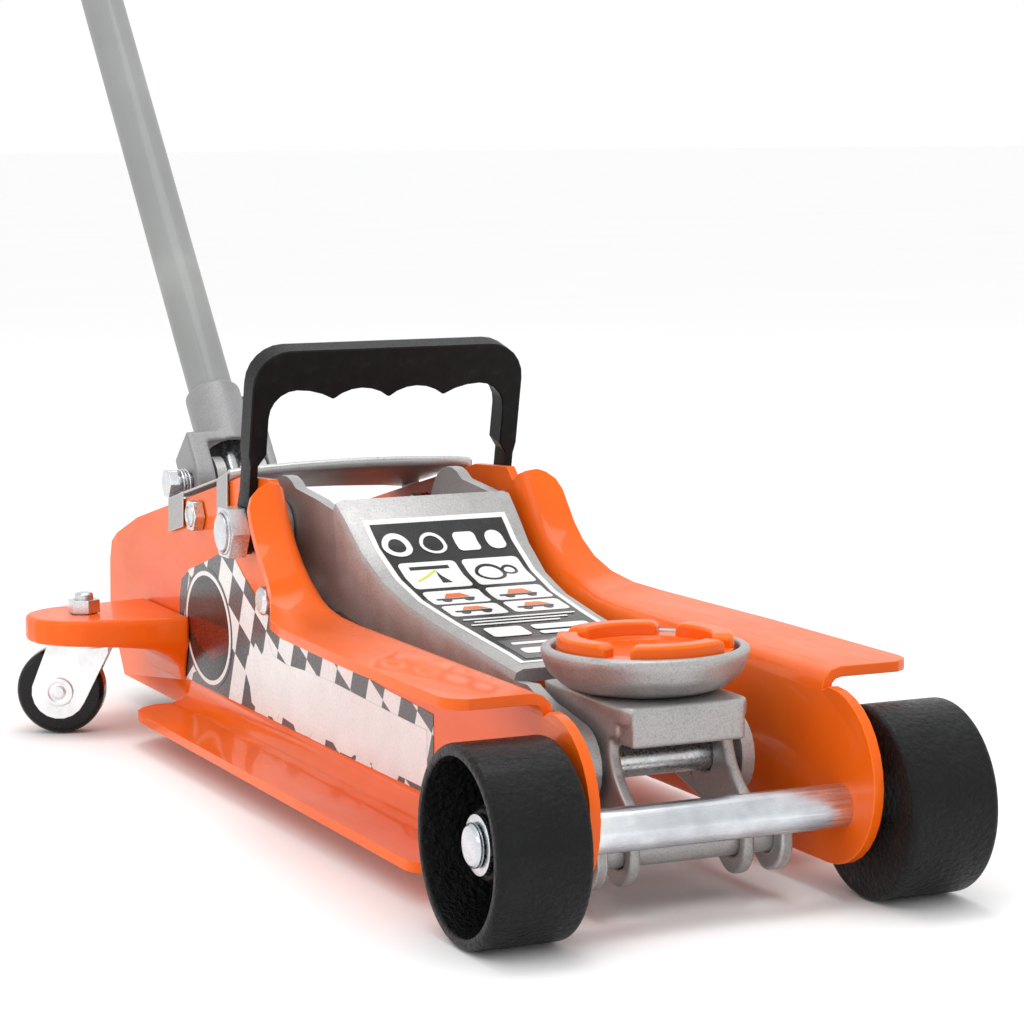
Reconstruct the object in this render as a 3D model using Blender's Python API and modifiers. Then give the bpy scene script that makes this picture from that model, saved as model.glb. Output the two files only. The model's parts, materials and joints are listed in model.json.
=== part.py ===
"""Low-profile hydraulic trolley jack, built as separate steel, cast and plastic pieces.

The jack stands on the floor at Z = 0.  X runs across it, the saddle end points to -Y and
the pump handle leans to +Y.  Lengths below are millimetres, turned to metres by MM.
The front axle lies at y = 0 of the jack's own drawing; ROOT_Y then moves the whole jack so
that the middle of its floor plan is the origin.  Left is the -X side.
"""
import math

import bmesh
import bpy
from mathutils import Matrix, Vector

MM = 0.001
GAP = 0.3                      # clearance between pieces that touch
HEAD_AF = 13.0                 # M8 hexagon heads: across flats and thickness
HEAD_T = 5.0
SIDES = {"left": -1, "right": 1}

# Front wheels and axle
WHEEL_R = 35.0
WHEEL_IN = 61.0                # inner face of a front wheel, from the middle plane
WHEEL_OUT = 96.3
AXLE_R = 7.15

# Side plates
PLATE_T = 4.0
PLATE_IN = 52.8                # inner face of a side plate
PLATE_OUT = PLATE_IN + PLATE_T
PLATE_LOW = 12.0
COVER_BOLT = (379.0, 103.5)
NOSE_R = 32.0                  # rounded nose around the front axle
NOSE = (10.0, 44.0)
FLANGE_Z = 82.0                # top of the folded upper flange
FLANGE_W = 39.2                # flange width from the plate's inner face
FOOT_W = 35.2                  # lower flange width
FOOT_REAR = 399.0              # its rear end, clear of the swinging caster
SHOULDER = (                   # the flange's climb to its shoulder: y, z and width from the plate
    (120.0, 82.0, 39.0), (186.0, 82.0, 36.8), (206.0, 82.6, 34.2), (221.0, 84.6, 28.4), (233.0, 88.2, 23.8),
    (244.0, 93.4, 21.2), (253.5, 99.6, 20.2), (261.0, 106.2, 19.8), (267.0, 113.4, 19.6),
    (271.0, 119.4, 19.0), (273.6, 124.0, 16.8), (275.2, 126.8, 13.2), (276.2, 128.2, 9.4),
)

# Lifting linkage: a parallelogram ARM_PIVOT - SADDLE_PIVOT - ROD_FRONT - ROD_REAR
ARM_PIVOT = (312.0, 104.0)
SADDLE_PIVOT = (43.0, 49.0)
LINK_DROP = (-20.0, -27.5)     # from each upper pivot to the lower one beside it
ROD_REAR = (ARM_PIVOT[0] + LINK_DROP[0], ARM_PIVOT[1] + LINK_DROP[1])
ROD_FRONT = (SADDLE_PIVOT[0] + LINK_DROP[0], SADDLE_PIVOT[1] + LINK_DROP[1])
ROD_END_R = 13.0
LIFT_SWING = 54.0              # degrees from lowered to fully raised, where the arm clears the carry handle
LEVER_R = 58.0                 # from the arm pivot down to the ram pin
SHAFT_R = 8.0
SHAFT_END = 71.0
SADDLE_PIN_R = 6.0
RAM_PIN_R = 7.0
ROD_PIN_R = 5.0
ARM_T = 5.0

# Power unit
RAM_Z = 49.5
RAM_R = 11.0
BARREL_FRONT = 364.0
BLOCK_FRONT = 457.5
BLOCK_REAR = 503.0

# Pump handle
HANDLE_PIVOT = (494.0, 105.0)
HANDLE_LEAN = 49.5             # degrees above the floor
HANDLE_LENGTH = 650.0
TUBE_R = 11.0
GRIP_R = 15.5
GRIP_LENGTH = 125.0
GRIP_CHAMFER = 3.0
HEEL_ARM = 23.0                # from the handle pivot down to the pump heel
PLUNGER_X = -19.0
SPRING_ROOM = 7.0              # return spring between the socket and its left bolt head
YOKE_END = {"left": -23.6, "right": 18.6}          # the left arm is wider, as it carries the pump heel
YOKE_HIGH = 22.0               # the yoke's top, up the handle from its pivot
BARREL_TOP = 52.0
BARREL_R = 13.9
CLAMP_AT = 44.0                # clamp screw, up the handle from its pivot
YOKE_GAP = 14.0                # half the space between the yoke's arms
EAR_X = 10.5                   # middle of each pump block ear inside it
EAR_T = 5.0
PIN_R = 4.5                    # socket bolts
PIN_IN = 8.2                   # their inner ends

# Carry handle
CARRY_IN = 54.0
CARRY_OUT = 62.0
CARRY_EYE = (57.4, 61.0)       # the thin lower part of each leg, outside the plate
CARRY_TOP = 81.5               # above its pivot
CARRY_BAR = 17.5               # depth of the bar at a finger's place
CARRY_DIP = 4.5                # cusps between the fingers
FINGER_PITCH = 25.3
CARRY_DEEP = 12.0
CARRY_LEAN = -13.0             # degrees back from upright; negative leans forwards

# Saddle
CUP_Y = 50.0
CUP_R = 37.7
PAD_LOW = 87.0                 # the insert's low middle
PAD_TOP = 93.6                 # its four crown segments
BRACKET_LEG_X = 22.6
ROD_FRONT_X = 36.6              # each radius rod is set outwards from here
ROD_REAR_X = 46.0               # to here

# Casters
STEM_X = 97.0
STEM_Y = 430.0
CASTER_R = 20.0
CASTER_TRAIL = 11.0
CHEEK_X = 9.2                  # from the wheel's middle plane to each fork cheek's
CHEEK_R = 12.5                 # round end of each fork cheek, about the wheel's axle
CASTER_TURN = -24.3            # degrees that each trail points back from straight outwards, below zero

HANDLE_DIR = Vector((0.0, math.cos(math.radians(HANDLE_LEAN)), math.sin(math.radians(HANDLE_LEAN))))
TOP_Y = HANDLE_PIVOT[0] + (HANDLE_LENGTH - GRIP_CHAMFER) * HANDLE_DIR.y + GRIP_R * HANDLE_DIR.z
ROOT_Y = (WHEEL_R - TOP_Y) / 2.0

# Rest places worked out from the dimensions above
LEVER_ANGLE = math.radians(LIFT_SWING / 2.0)
RAM_PIN = (ARM_PIVOT[0] + LEVER_R * math.sin(LEVER_ANGLE), ARM_PIVOT[1] - LEVER_R * math.cos(LEVER_ANGLE))

YZ_PLANE = (math.pi / 2.0, 0.0, math.pi / 2.0)     # curve X, Y, Z lie along world Y, Z, X
X_AXIS = (0.0, math.pi / 2.0, 0.0)
Y_AXIS = (-math.pi / 2.0, 0.0, 0.0)

for old in list(bpy.data.objects):
    bpy.data.objects.remove(old, do_unlink=True)

PARTS = bpy.data.collections.new("trolley_jack")
CUTTERS = bpy.data.collections.new("cutters")
for group in (PARTS, CUTTERS):
    bpy.context.scene.collection.children.link(group)


# ---------------------------------------------------------------- materials
def material(name, colour, roughness, metallic):
    mat = bpy.data.materials.new(name)
    mat.use_nodes = True
    mat.diffuse_color = (*colour, 1.0)
    shader = mat.node_tree.nodes["Principled BSDF"]
    shader.inputs["Base Color"].default_value = (*colour, 1.0)
    shader.inputs["Roughness"].default_value = roughness
    shader.inputs["Metallic"].default_value = metallic
    return mat


ORANGE = material("orange_enamel", (0.83, 0.105, 0.012), 0.22, 0.0)
SILVER = material("silver_enamel", (0.36, 0.355, 0.35), 0.38, 0.75)
TUBE_GREY = material("grey_tube_enamel", (0.42, 0.42, 0.42), 0.35, 0.5)
ZINC = material("zinc_plate", (0.62, 0.64, 0.65), 0.3, 1.0)
CAST = material("cast_iron_black", (0.012, 0.012, 0.013), 0.32, 0.0)
STEEL = material("ground_steel", (0.55, 0.55, 0.54), 0.2, 1.0)
PLASTIC = material("black_plastic", (0.018, 0.018, 0.019), 0.5, 0.0)
RUBBER = material("black_rubber", (0.02, 0.02, 0.02), 0.7, 0.0)
SEAL = material("seal_rubber", (0.05, 0.03, 0.02), 0.6, 0.0)


# ---------------------------------------------------------------- building helpers
def place(obj, mat=None, group=None):
    """Links a new object and gives it its material."""
    (group or PARTS).objects.link(obj)
    if mat is not None:
        obj.data.materials.append(mat)
    return obj


def new_mesh(name, bm, mat=None, group=None):
    mesh = bpy.data.meshes.new(name)
    bm.to_mesh(mesh)
    bm.free()
    return place(bpy.data.objects.new(name, mesh), mat, group)


def smooth(obj, angle=35.0):
    mesh = obj.data
    mesh.shade_smooth()
    mesh.set_sharp_from_angle(angle=math.radians(angle))
    return obj


def pivot(name, at, parent=None):
    """An empty on a joint's axis; home keeps its place in the jack's drawing."""
    empty = bpy.data.objects.new(name, None)
    empty.empty_display_size = 0.02
    PARTS.objects.link(empty)
    home = Vector(at) * MM
    empty["home"] = home
    if parent is not None:
        empty.parent = parent
        home = home - Vector(parent["home"])
    empty.location = home
    return empty


def attach(empty, *pieces):
    """Parents pieces, and the cutters that shape them, to a pivot, where they were drawn."""
    for piece in pieces:
        piece.parent = empty
        piece.matrix_parent_inverse = Matrix.Translation(-Vector(empty["home"]))
        for mod in piece.modifiers:
            if mod.type == "BOOLEAN":
                attach(empty, mod.object)
    return pieces[0]


def arc(centre, radius, start, end, count):
    """Points on an arc, with angles in degrees."""
    points = []
    for step in range(count + 1):
        angle = math.radians(start + (end - start) * step / count)
        points.append((centre[0] + radius * math.cos(angle), centre[1] + radius * math.sin(angle)))
    return points


def link_outline(c1, r1, c2, r2, count=8):
    """The outline of two round ends joined by straight edges."""
    dx, dy = c2[0] - c1[0], c2[1] - c1[1]
    length = math.hypot(dx, dy)
    heading = math.degrees(math.atan2(dy, dx))
    spread = math.degrees(math.acos((r1 - r2) / length))
    far = arc(c2, r2, heading - spread, heading + spread, count)
    near = arc(c1, r1, heading + spread, heading + 360.0 - spread, count)
    return far + near


def rounded_box_outline(low, high, radius, count=3):
    (x0, y0), (x1, y1) = low, high
    points = []
    corners = (((x1 - radius, y0 + radius), -90), ((x1 - radius, y1 - radius), 0),
               ((x0 + radius, y1 - radius), 90), ((x0 + radius, y0 + radius), 180))
    for centre, start in corners:
        points += arc(centre, radius, start, start + 90, count)
    return points


def to_mesh_object(obj):
    """Turns a filled curve into a mesh object with welded caps."""
    bpy.context.view_layer.update()
    evaluated = obj.evaluated_get(bpy.context.evaluated_depsgraph_get())
    mesh = bpy.data.meshes.new_from_object(evaluated)
    bm = bmesh.new()
    bm.from_mesh(mesh)
    bmesh.ops.remove_doubles(bm, verts=bm.verts, dist=0.00002)
    bm.to_mesh(mesh)
    bm.free()
    name, group = obj.name, obj.users_collection[0]
    matrix, materials = obj.matrix_world.copy(), list(obj.data.materials)
    bpy.data.objects.remove(obj, do_unlink=True)
    result = bpy.data.objects.new(name, mesh)
    result.matrix_world = matrix
    mesh.materials.clear()
    for mat in materials:
        mesh.materials.append(mat)
    group.objects.link(result)
    return result


def slab(name, outline, thickness, middle, mat=None, group=None, plane=YZ_PLANE):
    """A flat outline given a thickness."""
    curve = bpy.data.curves.new(name, "CURVE")
    curve.dimensions = "2D"
    curve.fill_mode = "BOTH"
    curve.extrude = thickness * MM / 2.0
    spline = curve.splines.new("POLY")
    spline.points.add(len(outline) - 1)
    for point, (u, v) in zip(spline.points, outline):
        point.co = (u * MM, v * MM, 0.0, 1.0)
    spline.use_cyclic_u = True
    obj = place(bpy.data.objects.new(name, curve), mat, group)
    obj.rotation_euler = plane
    obj.location = Vector(middle) * MM
    return to_mesh_object(obj)


def rod(name, radius, length, middle, turn=(0, 0, 0), mat=None, group=None, segments=20):
    """A round bar."""
    bm = bmesh.new()
    bmesh.ops.create_cone(bm, cap_ends=True, segments=segments, radius1=radius * MM,
                          radius2=radius * MM, depth=length * MM)
    obj = new_mesh(name, bm, mat, group)
    obj.rotation_euler = turn
    obj.location = Vector(middle) * MM
    return smooth(obj)


def box(name, low, high, mat=None, group=None):
    bm = bmesh.new()
    bmesh.ops.create_cube(bm, size=1.0)
    size = Vector(high) - Vector(low)
    bmesh.ops.scale(bm, vec=size * MM, verts=bm.verts)
    obj = new_mesh(name, bm, mat, group)
    obj.location = (Vector(high) + Vector(low)) / 2.0 * MM
    return obj


def bevel(obj, width, segments=2, angle=40.0):
    mod = obj.modifiers.new("rounded edges", "BEVEL")
    mod.width = width * MM
    mod.segments = segments
    mod.limit_method = "ANGLE"
    mod.angle_limit = math.radians(angle)
    return obj


def turned(name, profile, middle, turn, mat, steps=32, closed=True):
    """A lathe shape: (radius, height) points that run down the outer side first."""
    bm = bmesh.new()
    verts = [bm.verts.new((r * MM, 0.0, h * MM)) for r, h in profile]
    pairs = list(zip(verts, verts[1:]))
    if closed:
        pairs.append((verts[-1], verts[0]))
    for a, b in pairs:
        bm.edges.new((a, b))
    obj = new_mesh(name, bm, mat)
    screw = obj.modifiers.new("lathe", "SCREW")
    screw.axis = "Z"
    screw.steps = steps
    screw.render_steps = steps
    screw.use_merge_vertices = True
    screw.merge_threshold = 0.00001
    screw.use_smooth_shade = True
    obj.rotation_euler = turn
    obj.location = Vector(middle) * MM
    return obj


def boolean(obj, other, operation):
    mod = obj.modifiers.new(operation.lower(), "BOOLEAN")
    mod.operation = operation
    mod.object = other
    mod.solver = "EXACT"
    other.hide_render = True
    other.display_type = "WIRE"
    return obj


def cut(obj, *tools):
    for tool in tools:
        boolean(obj, tool, "DIFFERENCE")
    return obj


def weld(obj, *others):
    for other in others:
        boolean(obj, other, "UNION")
    return obj


def drill(name, radius, length, middle, turn=X_AXIS, segments=16):
    return rod(name, radius, length, middle, turn, group=CUTTERS, segments=segments)


def coil(name, radius, wire, start, axis, length, turns, mat, per_turn=9):
    """A helical spring of round wire along axis from start."""
    axis = Vector(axis).normalized()
    side = axis.orthogonal().normalized()
    other = axis.cross(side)
    count = int(turns * per_turn)
    curve = bpy.data.curves.new(name, "CURVE")
    curve.dimensions = "3D"
    curve.bevel_depth = wire * MM
    curve.bevel_resolution = 0
    curve.use_fill_caps = True
    spline = curve.splines.new("POLY")
    spline.points.add(count)
    for step, point in enumerate(spline.points):
        angle = 2.0 * math.pi * step / per_turn
        at = Vector(start) + axis * (length * step / count)
        at += side * (radius * math.cos(angle)) + other * (radius * math.sin(angle))
        point.co = (*(at * MM), 1.0)
    return place(bpy.data.objects.new(name, curve), mat)


def hexagon(name, across_flats, thickness, middle, turn, mat, bore=0.0):
    """A nut or bolt head: a six-sided prism with its corners rounded off."""
    corner = across_flats / math.sqrt(3.0)
    obj = rod(name, corner, thickness, middle, turn, mat, segments=6)
    obj.data.shade_flat()
    if bore:
        cut(obj, drill(name + "_bore", bore, thickness + 4, middle, turn, segments=16))
    return obj


# ---------------------------------------------------------------- frame
def flange_strip(bm, stations, bend, side, count=3):
    """Folds a flange off the plate along stations (edge point, inward normal, width).

    Returns the vertices where it leaves the plate, which become the plate's own edge.
    """
    rows = []
    for (y, z), (ny, nz), width in stations:
        row = []
        for step in range(count + 1):
            angle = math.radians(90.0 * step / count)
            rise = bend * (1.0 - math.sin(angle))
            reach = PLATE_IN + bend * (1.0 - math.cos(angle))
            row.append((side * reach, y + ny * rise, z + nz * rise))
        row.append((side * (PLATE_IN + max(width, bend + 1.0)), y, z))
        rows.append([bm.verts.new(Vector(p) * MM) for p in row])
    for near, far in zip(rows, rows[1:]):
        for k in range(len(near) - 1):
            bm.faces.new((near[k], near[k + 1], far[k + 1], far[k]))
    return [row[0] for row in rows]


def corner_widths(start, radius, full, count=4):
    """Stations across a rounded flange corner: (distance along, width)."""
    out = []
    for step in range(1, count + 1):
        angle = math.radians(90.0 * step / count)
        out.append((start + radius * (1 - math.cos(angle)), full - radius * (1 - math.sin(angle))))
    return out


def side_plate(name, side):
    """One pressed side of the frame: web, upper flange with its shoulder, lower flange."""
    bm = bmesh.new()
    up = (0.0, -1.0)
    top = [((y, FLANGE_Z), up, w) for y, w in corner_widths(14.0, 12.0, FLANGE_W)]
    for k, (y, z, width) in enumerate(SHOULDER):
        y0, z0, _ = SHOULDER[max(k - 1, 0)]
        y1, z1, _ = SHOULDER[min(k + 1, len(SHOULDER) - 1)]
        run = math.hypot(y1 - y0, z1 - z0)
        top.append(((y, z), ((z1 - z0) / run, (y0 - y1) / run), width))
    low = [((y, PLATE_LOW), (0.0, 1.0), w) for y, w in corner_widths(56.0, 10.0, FOOT_W)]
    tail = corner_widths(-FOOT_REAR, 22.0, FOOT_W)
    low += [((-y, PLATE_LOW), (0.0, 1.0), w) for y, w in reversed(tail)]

    top_edge = flange_strip(bm, top, 8.0, side)
    low_edge = flange_strip(bm, low, 13.0, side)

    def web(points):
        return [bm.verts.new(Vector((side * PLATE_IN, y, z)) * MM) for y, z in points]

    nose_top = web(arc(NOSE, NOSE_R, 180, 90, 8))
    nose_low = web(arc(NOSE, NOSE_R, 270, 180, 8)[:-1])
    crest = web([(288.5, 128.4), (300.0, 127.8), (322.0, 126.6), (356.0, 119.0), (425.0, 103.5),
                 (475.0, 92.0), (508.0, 81.0), (517.0, 76.0), (520.5, 67.0), (522.0, 42.0),
                 (501.0, PLATE_LOW), (FOOT_REAR + 2.0, PLATE_LOW)])
    loop = nose_top + top_edge + crest + list(reversed(low_edge)) + web([(54.0, PLATE_LOW)]) + nose_low
    bm.faces.new(loop)
    bmesh.ops.recalc_face_normals(bm, faces=bm.faces)
    if max(bm.faces, key=lambda f: f.calc_area()).normal.x * side > 0:
        bmesh.ops.reverse_faces(bm, faces=bm.faces)
    plate = new_mesh(name, bm, ORANGE)
    skin = plate.modifiers.new("sheet", "SOLIDIFY")
    skin.thickness = PLATE_T * MM
    skin.offset = -1.0
    x = side * PLATE_IN
    holes = [("axle", AXLE_R + GAP, 0.0, WHEEL_R), ("shaft", SHAFT_R + GAP, *ARM_PIVOT),
             ("rod_pin", ROD_PIN_R + GAP, *ROD_REAR), ("cover", 4.3, *COVER_BOLT)]
    cut(plate, *[drill(f"{name}_{tag}_hole", r, 20, (x, y, z)) for tag, r, y, z in holes])
    return smooth(plate, 30)


def front_axle():
    """Plain bar, necked under the washers and peened over them."""
    profile = [(0.0, 91.4), (6.6, 91.4), (7.8, 90.4), (7.8, 89.2), (6.4, 88.9), (6.4, 86.6), (AXLE_R, 86.6)]
    mirrored = [(r, -h) for r, h in reversed(profile)]
    return turned("front_axle", profile + mirrored, (0, 0, WHEEL_R), X_AXIS, ZINC, closed=False, steps=20)


def ring(name, inner, outer, low, high, middle, turn, mat, steps=20):
    profile = [(outer, high), (outer, low), (inner, low), (inner, high)]
    return turned(name, profile, middle, turn, mat, steps=steps)


def front_wheel(name, side):
    """Cast drum wheel, open on its outer side, with a long hub."""
    bore = AXLE_R + GAP
    profile = [(30.6, WHEEL_OUT), (33.6, WHEEL_OUT), (WHEEL_R, WHEEL_OUT - 1.4), (WHEEL_R, WHEEL_IN + 1.4),
               (33.6, WHEEL_IN), (bore, WHEEL_IN), (bore, 86.3), (12.0, 86.3), (13.5, 84.5),
               (15.0, 68.5), (27.0, 67.0), (29.6, 70.0)]
    turn = (0.0, side * math.pi / 2.0, 0.0)
    return turned(name, profile, (0, 0, WHEEL_R), turn, CAST, steps=32)


def caster_bracket(name, side):
    """Rounded cup off the side plate that carries the caster's king bolt."""
    root_x = PLATE_OUT + 0.5
    tip = arc((STEM_X, STEM_Y), 27.0, -90, 90, 10)
    outline = [(root_x, STEM_Y - 34), (72.0, STEM_Y - 31)] + tip
    outline += [(72.0, STEM_Y + 31), (root_x, STEM_Y + 34)]
    # the flared skirt clears the caster wheel as it swings: (height, furthest reach, width share)
    levels = ((24.0, 1.3, 0.8), (31.0, 3.2, 0.85), (36.0, 8.0, 0.9), (40.0, 16.5, 0.95), (43.5, 80.0, 1.0),
              (52.0, 80.0, 1.0), (55.0, 65.0, 0.97))
    bm = bmesh.new()
    rows = []
    for z, limit, share in levels:
        row = []
        for x, y in outline:
            at = (side * (root_x + min(x - root_x, limit)), STEM_Y + (y - STEM_Y) * share, z)
            row.append(bm.verts.new(Vector(at) * MM))
        rows.append(row)
    count = len(outline)
    for low, high in zip(rows, rows[1:]):
        for k in range(count):
            n = (k + 1) % count
            bm.faces.new((low[k], low[n], high[n], high[k]))
    bm.faces.new(rows[0])
    bm.faces.new(rows[-1])
    bmesh.ops.remove_doubles(bm, verts=bm.verts, dist=0.00001)
    bmesh.ops.recalc_face_normals(bm, faces=bm.faces)
    bracket = new_mesh(name, bm, ORANGE)
    cut(bracket, drill(name + "_bore", 5.4, 60, (side * STEM_X, STEM_Y, 45), (0, 0, 0)),
        rod(name + "_under", 21.5, 12, (side * STEM_X, STEM_Y, 42.8), group=CUTTERS, segments=28))
    return smooth(bracket, 40)


def pivot_bushing(name, side):
    """Stepped spacer between the arm and the side plate, on the pivot shaft."""
    bore = SHAFT_R + GAP
    profile = [(13.0, 52.5), (13.0, 49.5), (15.5, 49.0), (15.5, 45.0), (12.5, 44.5), (12.5, 41.4),
               (bore, 41.4), (bore, 52.5)]
    return turned(name, profile, (0, *ARM_PIVOT), (0.0, side * math.pi / 2.0, 0.0), SILVER, steps=18)


def build_frame(root):
    for label, side in SIDES.items():
        attach(root, side_plate("side_plate_" + label, side))
        attach(root, ring("front_washer_" + label, 6.8, 10.6, 86.9, 88.6, (0, 0, WHEEL_R),
                          (0.0, side * math.pi / 2.0, 0.0), ZINC))
        attach(root, caster_bracket("caster_bracket_" + label, side))
        attach(root, pivot_bushing("pivot_bushing_" + label, side))
        nut_x = side * (CARRY_EYE[1] + GAP + 4.0)
        nut = hexagon("pivot_nut_" + label, 21.0, 8.0, (nut_x, *ARM_PIVOT), X_AXIS, ZINC, SHAFT_R + GAP)
        attach(root, nut)
        profile = [(0.0, 61.0), (4.6, 61.0), (6.2, 59.6), (6.2, 57.2), (ROD_PIN_R, 57.2)]
        profile += [(ROD_PIN_R, 43.2), (0.0, 43.2)]
        outwards = (0.0, side * math.pi / 2.0, 0.0)
        pin = turned("rod_pin_" + label, profile, (0, *ROD_REAR), outwards, ZINC, steps=20, closed=False)
        attach(root, pin)
        head_x = side * (PLATE_OUT + GAP + HEAD_T / 2.0)
        bolt = hexagon("cover_bolt_" + label, HEAD_AF, HEAD_T, (head_x, *COVER_BOLT), X_AXIS, ZINC)
        weld(bolt, drill("cover_shank_" + label, 4.0, 14.0, (side * (PLATE_OUT - 4.0), *COVER_BOLT)))
        attach(root, bolt)
        king = hexagon("king_bolt_" + label, HEAD_AF, 6.0, (side * STEM_X, STEM_Y, 58.4), (0, 0, 0), ZINC)
        weld(king, rod("king_shank_" + label, 5.0, 19.0, (side * STEM_X, STEM_Y, 50.9), group=CUTTERS))
        attach(root, king)
    attach(root, front_axle())
    attach(root, rod("arm_pivot_shaft", SHAFT_R, 2 * SHAFT_END, (0, *ARM_PIVOT), X_AXIS, ZINC, segments=24))


# ---------------------------------------------------------------- power unit
def pump_block():
    """Cast block at the rear that closes the reservoir and carries the handle."""
    block = box("pump_block", (-52.2, BLOCK_FRONT, 17.0), (52.2, BLOCK_REAR, 76.0), SILVER)
    ears = []
    for label, side in SIDES.items():
        outline = [(HANDLE_PIVOT[0] + 12.0, 70.0)] + arc(HANDLE_PIVOT, 12.0, 0, 180, 10)
        outline += [(HANDLE_PIVOT[0] - 14.0, 96.0), (HANDLE_PIVOT[0] - 20.0, 70.0)]
        ear = slab("pump_ear_" + label, outline, EAR_T, (side * EAR_X, 0, 0), group=CUTTERS)
        ears.append(cut(ear, drill("pump_ear_bore_" + label, PIN_R + GAP, 14, (side * EAR_X, *HANDLE_PIVOT))))
    housing = box("pump_housing", (-28.0, BLOCK_FRONT, 70.0), (-7.95, 478.5, 92.0), group=CUTTERS)
    weld(block, *ears)
    weld(block, housing)
    plunger_bore = drill("plunger_bore", 4.8, 56.0, (PLUNGER_X, 487.0, HANDLE_PIVOT[1] - HEEL_ARM), Y_AXIS)
    lean = math.radians(HANDLE_LEAN) - math.pi / 2.0
    valve = Vector((0, *HANDLE_PIVOT)) - HANDLE_DIR * 32.0
    valve_bore = drill("valve_bore", 5.0, 44.0, valve, (lean, 0, 0))
    cut(block, plunger_bore, valve_bore)
    return block


def build_power_unit(root):
    attach(root, pump_block())
    middle = (0, 0, RAM_Z)
    # the lathe axis points to -Y, so heights are -y
    forward = (math.pi / 2.0, 0.0, 0.0)
    back, front = -(BLOCK_FRONT - GAP), -BARREL_FRONT
    attach(root, ring("ram_cylinder", 14.2, 18.5, back, front, middle, forward, STEEL, 24))
    attach(root, ring("reservoir_tube", 28.6, 31.0, back, front, middle, forward, SILVER, 28))
    gland = [(30.0, front + 7.5), (31.5, front + 6.5), (31.5, front + GAP), (RAM_R + GAP, front + GAP),
             (RAM_R + GAP, front + 7.5)]
    attach(root, turned("gland_nut", gland, middle, forward, STEEL, steps=24))
    plug = turned("filler_plug", [(0, 86.0), (5.0, 85.6), (6.5, 83.2), (6.5, 81.0), (0, 81.0)],
                  (0, 432.0, 0), (0, 0, 0), RUBBER, steps=16, closed=False)
    attach(root, plug)
    attach(root, cover_plate())
    for label, side in SIDES.items():
        head_in = abs(YOKE_END[label]) + GAP + (SPRING_ROOM if side < 0 else 0.0)
        head_at = (side * (head_in + HEAD_T / 2.0), *HANDLE_PIVOT)
        bolt = hexagon("socket_bolt_" + label, HEAD_AF, HEAD_T, head_at, X_AXIS, ZINC)
        shank = head_in + HEAD_T / 2.0 - PIN_IN
        shank_at = (side * (PIN_IN + shank / 2.0), *HANDLE_PIVOT)
        weld(bolt, drill("socket_shank_" + label, PIN_R, shank, shank_at))
        attach(root, bolt)
        spring = coil("return_spring_" + label, 3.0, 0.7, (side * 47.2, RAM_PIN[0] + 10.0, 56.0),
                      (0, 1, 0), BLOCK_FRONT - RAM_PIN[0] - 14.0, 7, ZINC, per_turn=6)
        attach(root, spring)
    spring_start = (YOKE_END["left"] - GAP - 1.2, *HANDLE_PIVOT)
    attach(root, coil("handle_return_spring", 6.4, 0.8, spring_start, (-1, 0, 0), SPRING_ROOM - 2.2, 3, ZINC,
                      per_turn=10))
    stem = turned("release_valve", [(0, -5.2), (3.6, -6.2), (4.6, -9.0), (4.6, -44.0), (0, -47.0)],
                  (0, *HANDLE_PIVOT), (math.radians(HANDLE_LEAN) - math.pi / 2.0, 0, 0), STEEL, steps=16,
                  closed=False)
    return stem


def cover_plate():
    """Sheet cover over the power unit, with four tabs folded down outside the plates."""
    slope = (103.5 - 119.0) / (425.0 - 356.0)

    def edge(y):
        return 119.0 + slope * (y - 356.0)

    bm = bmesh.new()
    rows = []
    for y in (338.0, 352.0, 376.0, 400.0, 421.0):
        crown = [(-57.6, 0.6), (-48.0, 1.6), (-24.0, 2.6), (0.0, 3.0), (24.0, 2.6), (48.0, 1.6), (57.6, 0.6)]
        base = edge(y) if y > 340 else edge(340.0) + 1.5
        rows.append([bm.verts.new(Vector((x, y, base + rise + 1.2)) * MM) for x, rise in crown])
    for near, far in zip(rows, rows[1:]):
        for k in range(len(near) - 1):
            bm.faces.new((near[k], near[k + 1], far[k + 1], far[k]))
    for side_index, side in ((0, -1), (-1, 1)):
        for first in (0, 3):
            near, far = rows[first][side_index], rows[first + 1][side_index]
            low = [bm.verts.new(v.co - Vector((0.0, 0.0, 15.0 * MM))) for v in (near, far)]
            bm.faces.new((near, far, low[1], low[0]))
    bmesh.ops.recalc_face_normals(bm, faces=bm.faces)
    if max(bm.faces, key=lambda f: f.calc_area()).normal.z < 0:
        bmesh.ops.reverse_faces(bm, faces=bm.faces)
    cover = new_mesh("cover_plate", bm, SILVER)
    skin = cover.modifiers.new("sheet", "SOLIDIFY")
    skin.thickness = 1.2 * MM
    skin.offset = 1.0
    return cover


# ---------------------------------------------------------------- lifting arm, saddle and rods
def arm_half_width(y):
    """Half the arm's width: 33 at the saddle end, 41 at the pivot."""
    stops = ((0.0, 33.0), (92.0, 33.0), (114.0, 34.0), (206.0, 36.5), (262.0, 41.0), (400.0, 41.0))
    for (y0, w0), (y1, w1) in zip(stops, stops[1:]):
        if y <= y1:
            return w0 + (w1 - w0) * (y - y0) / (y1 - y0)
    return stops[-1][1]


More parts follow.
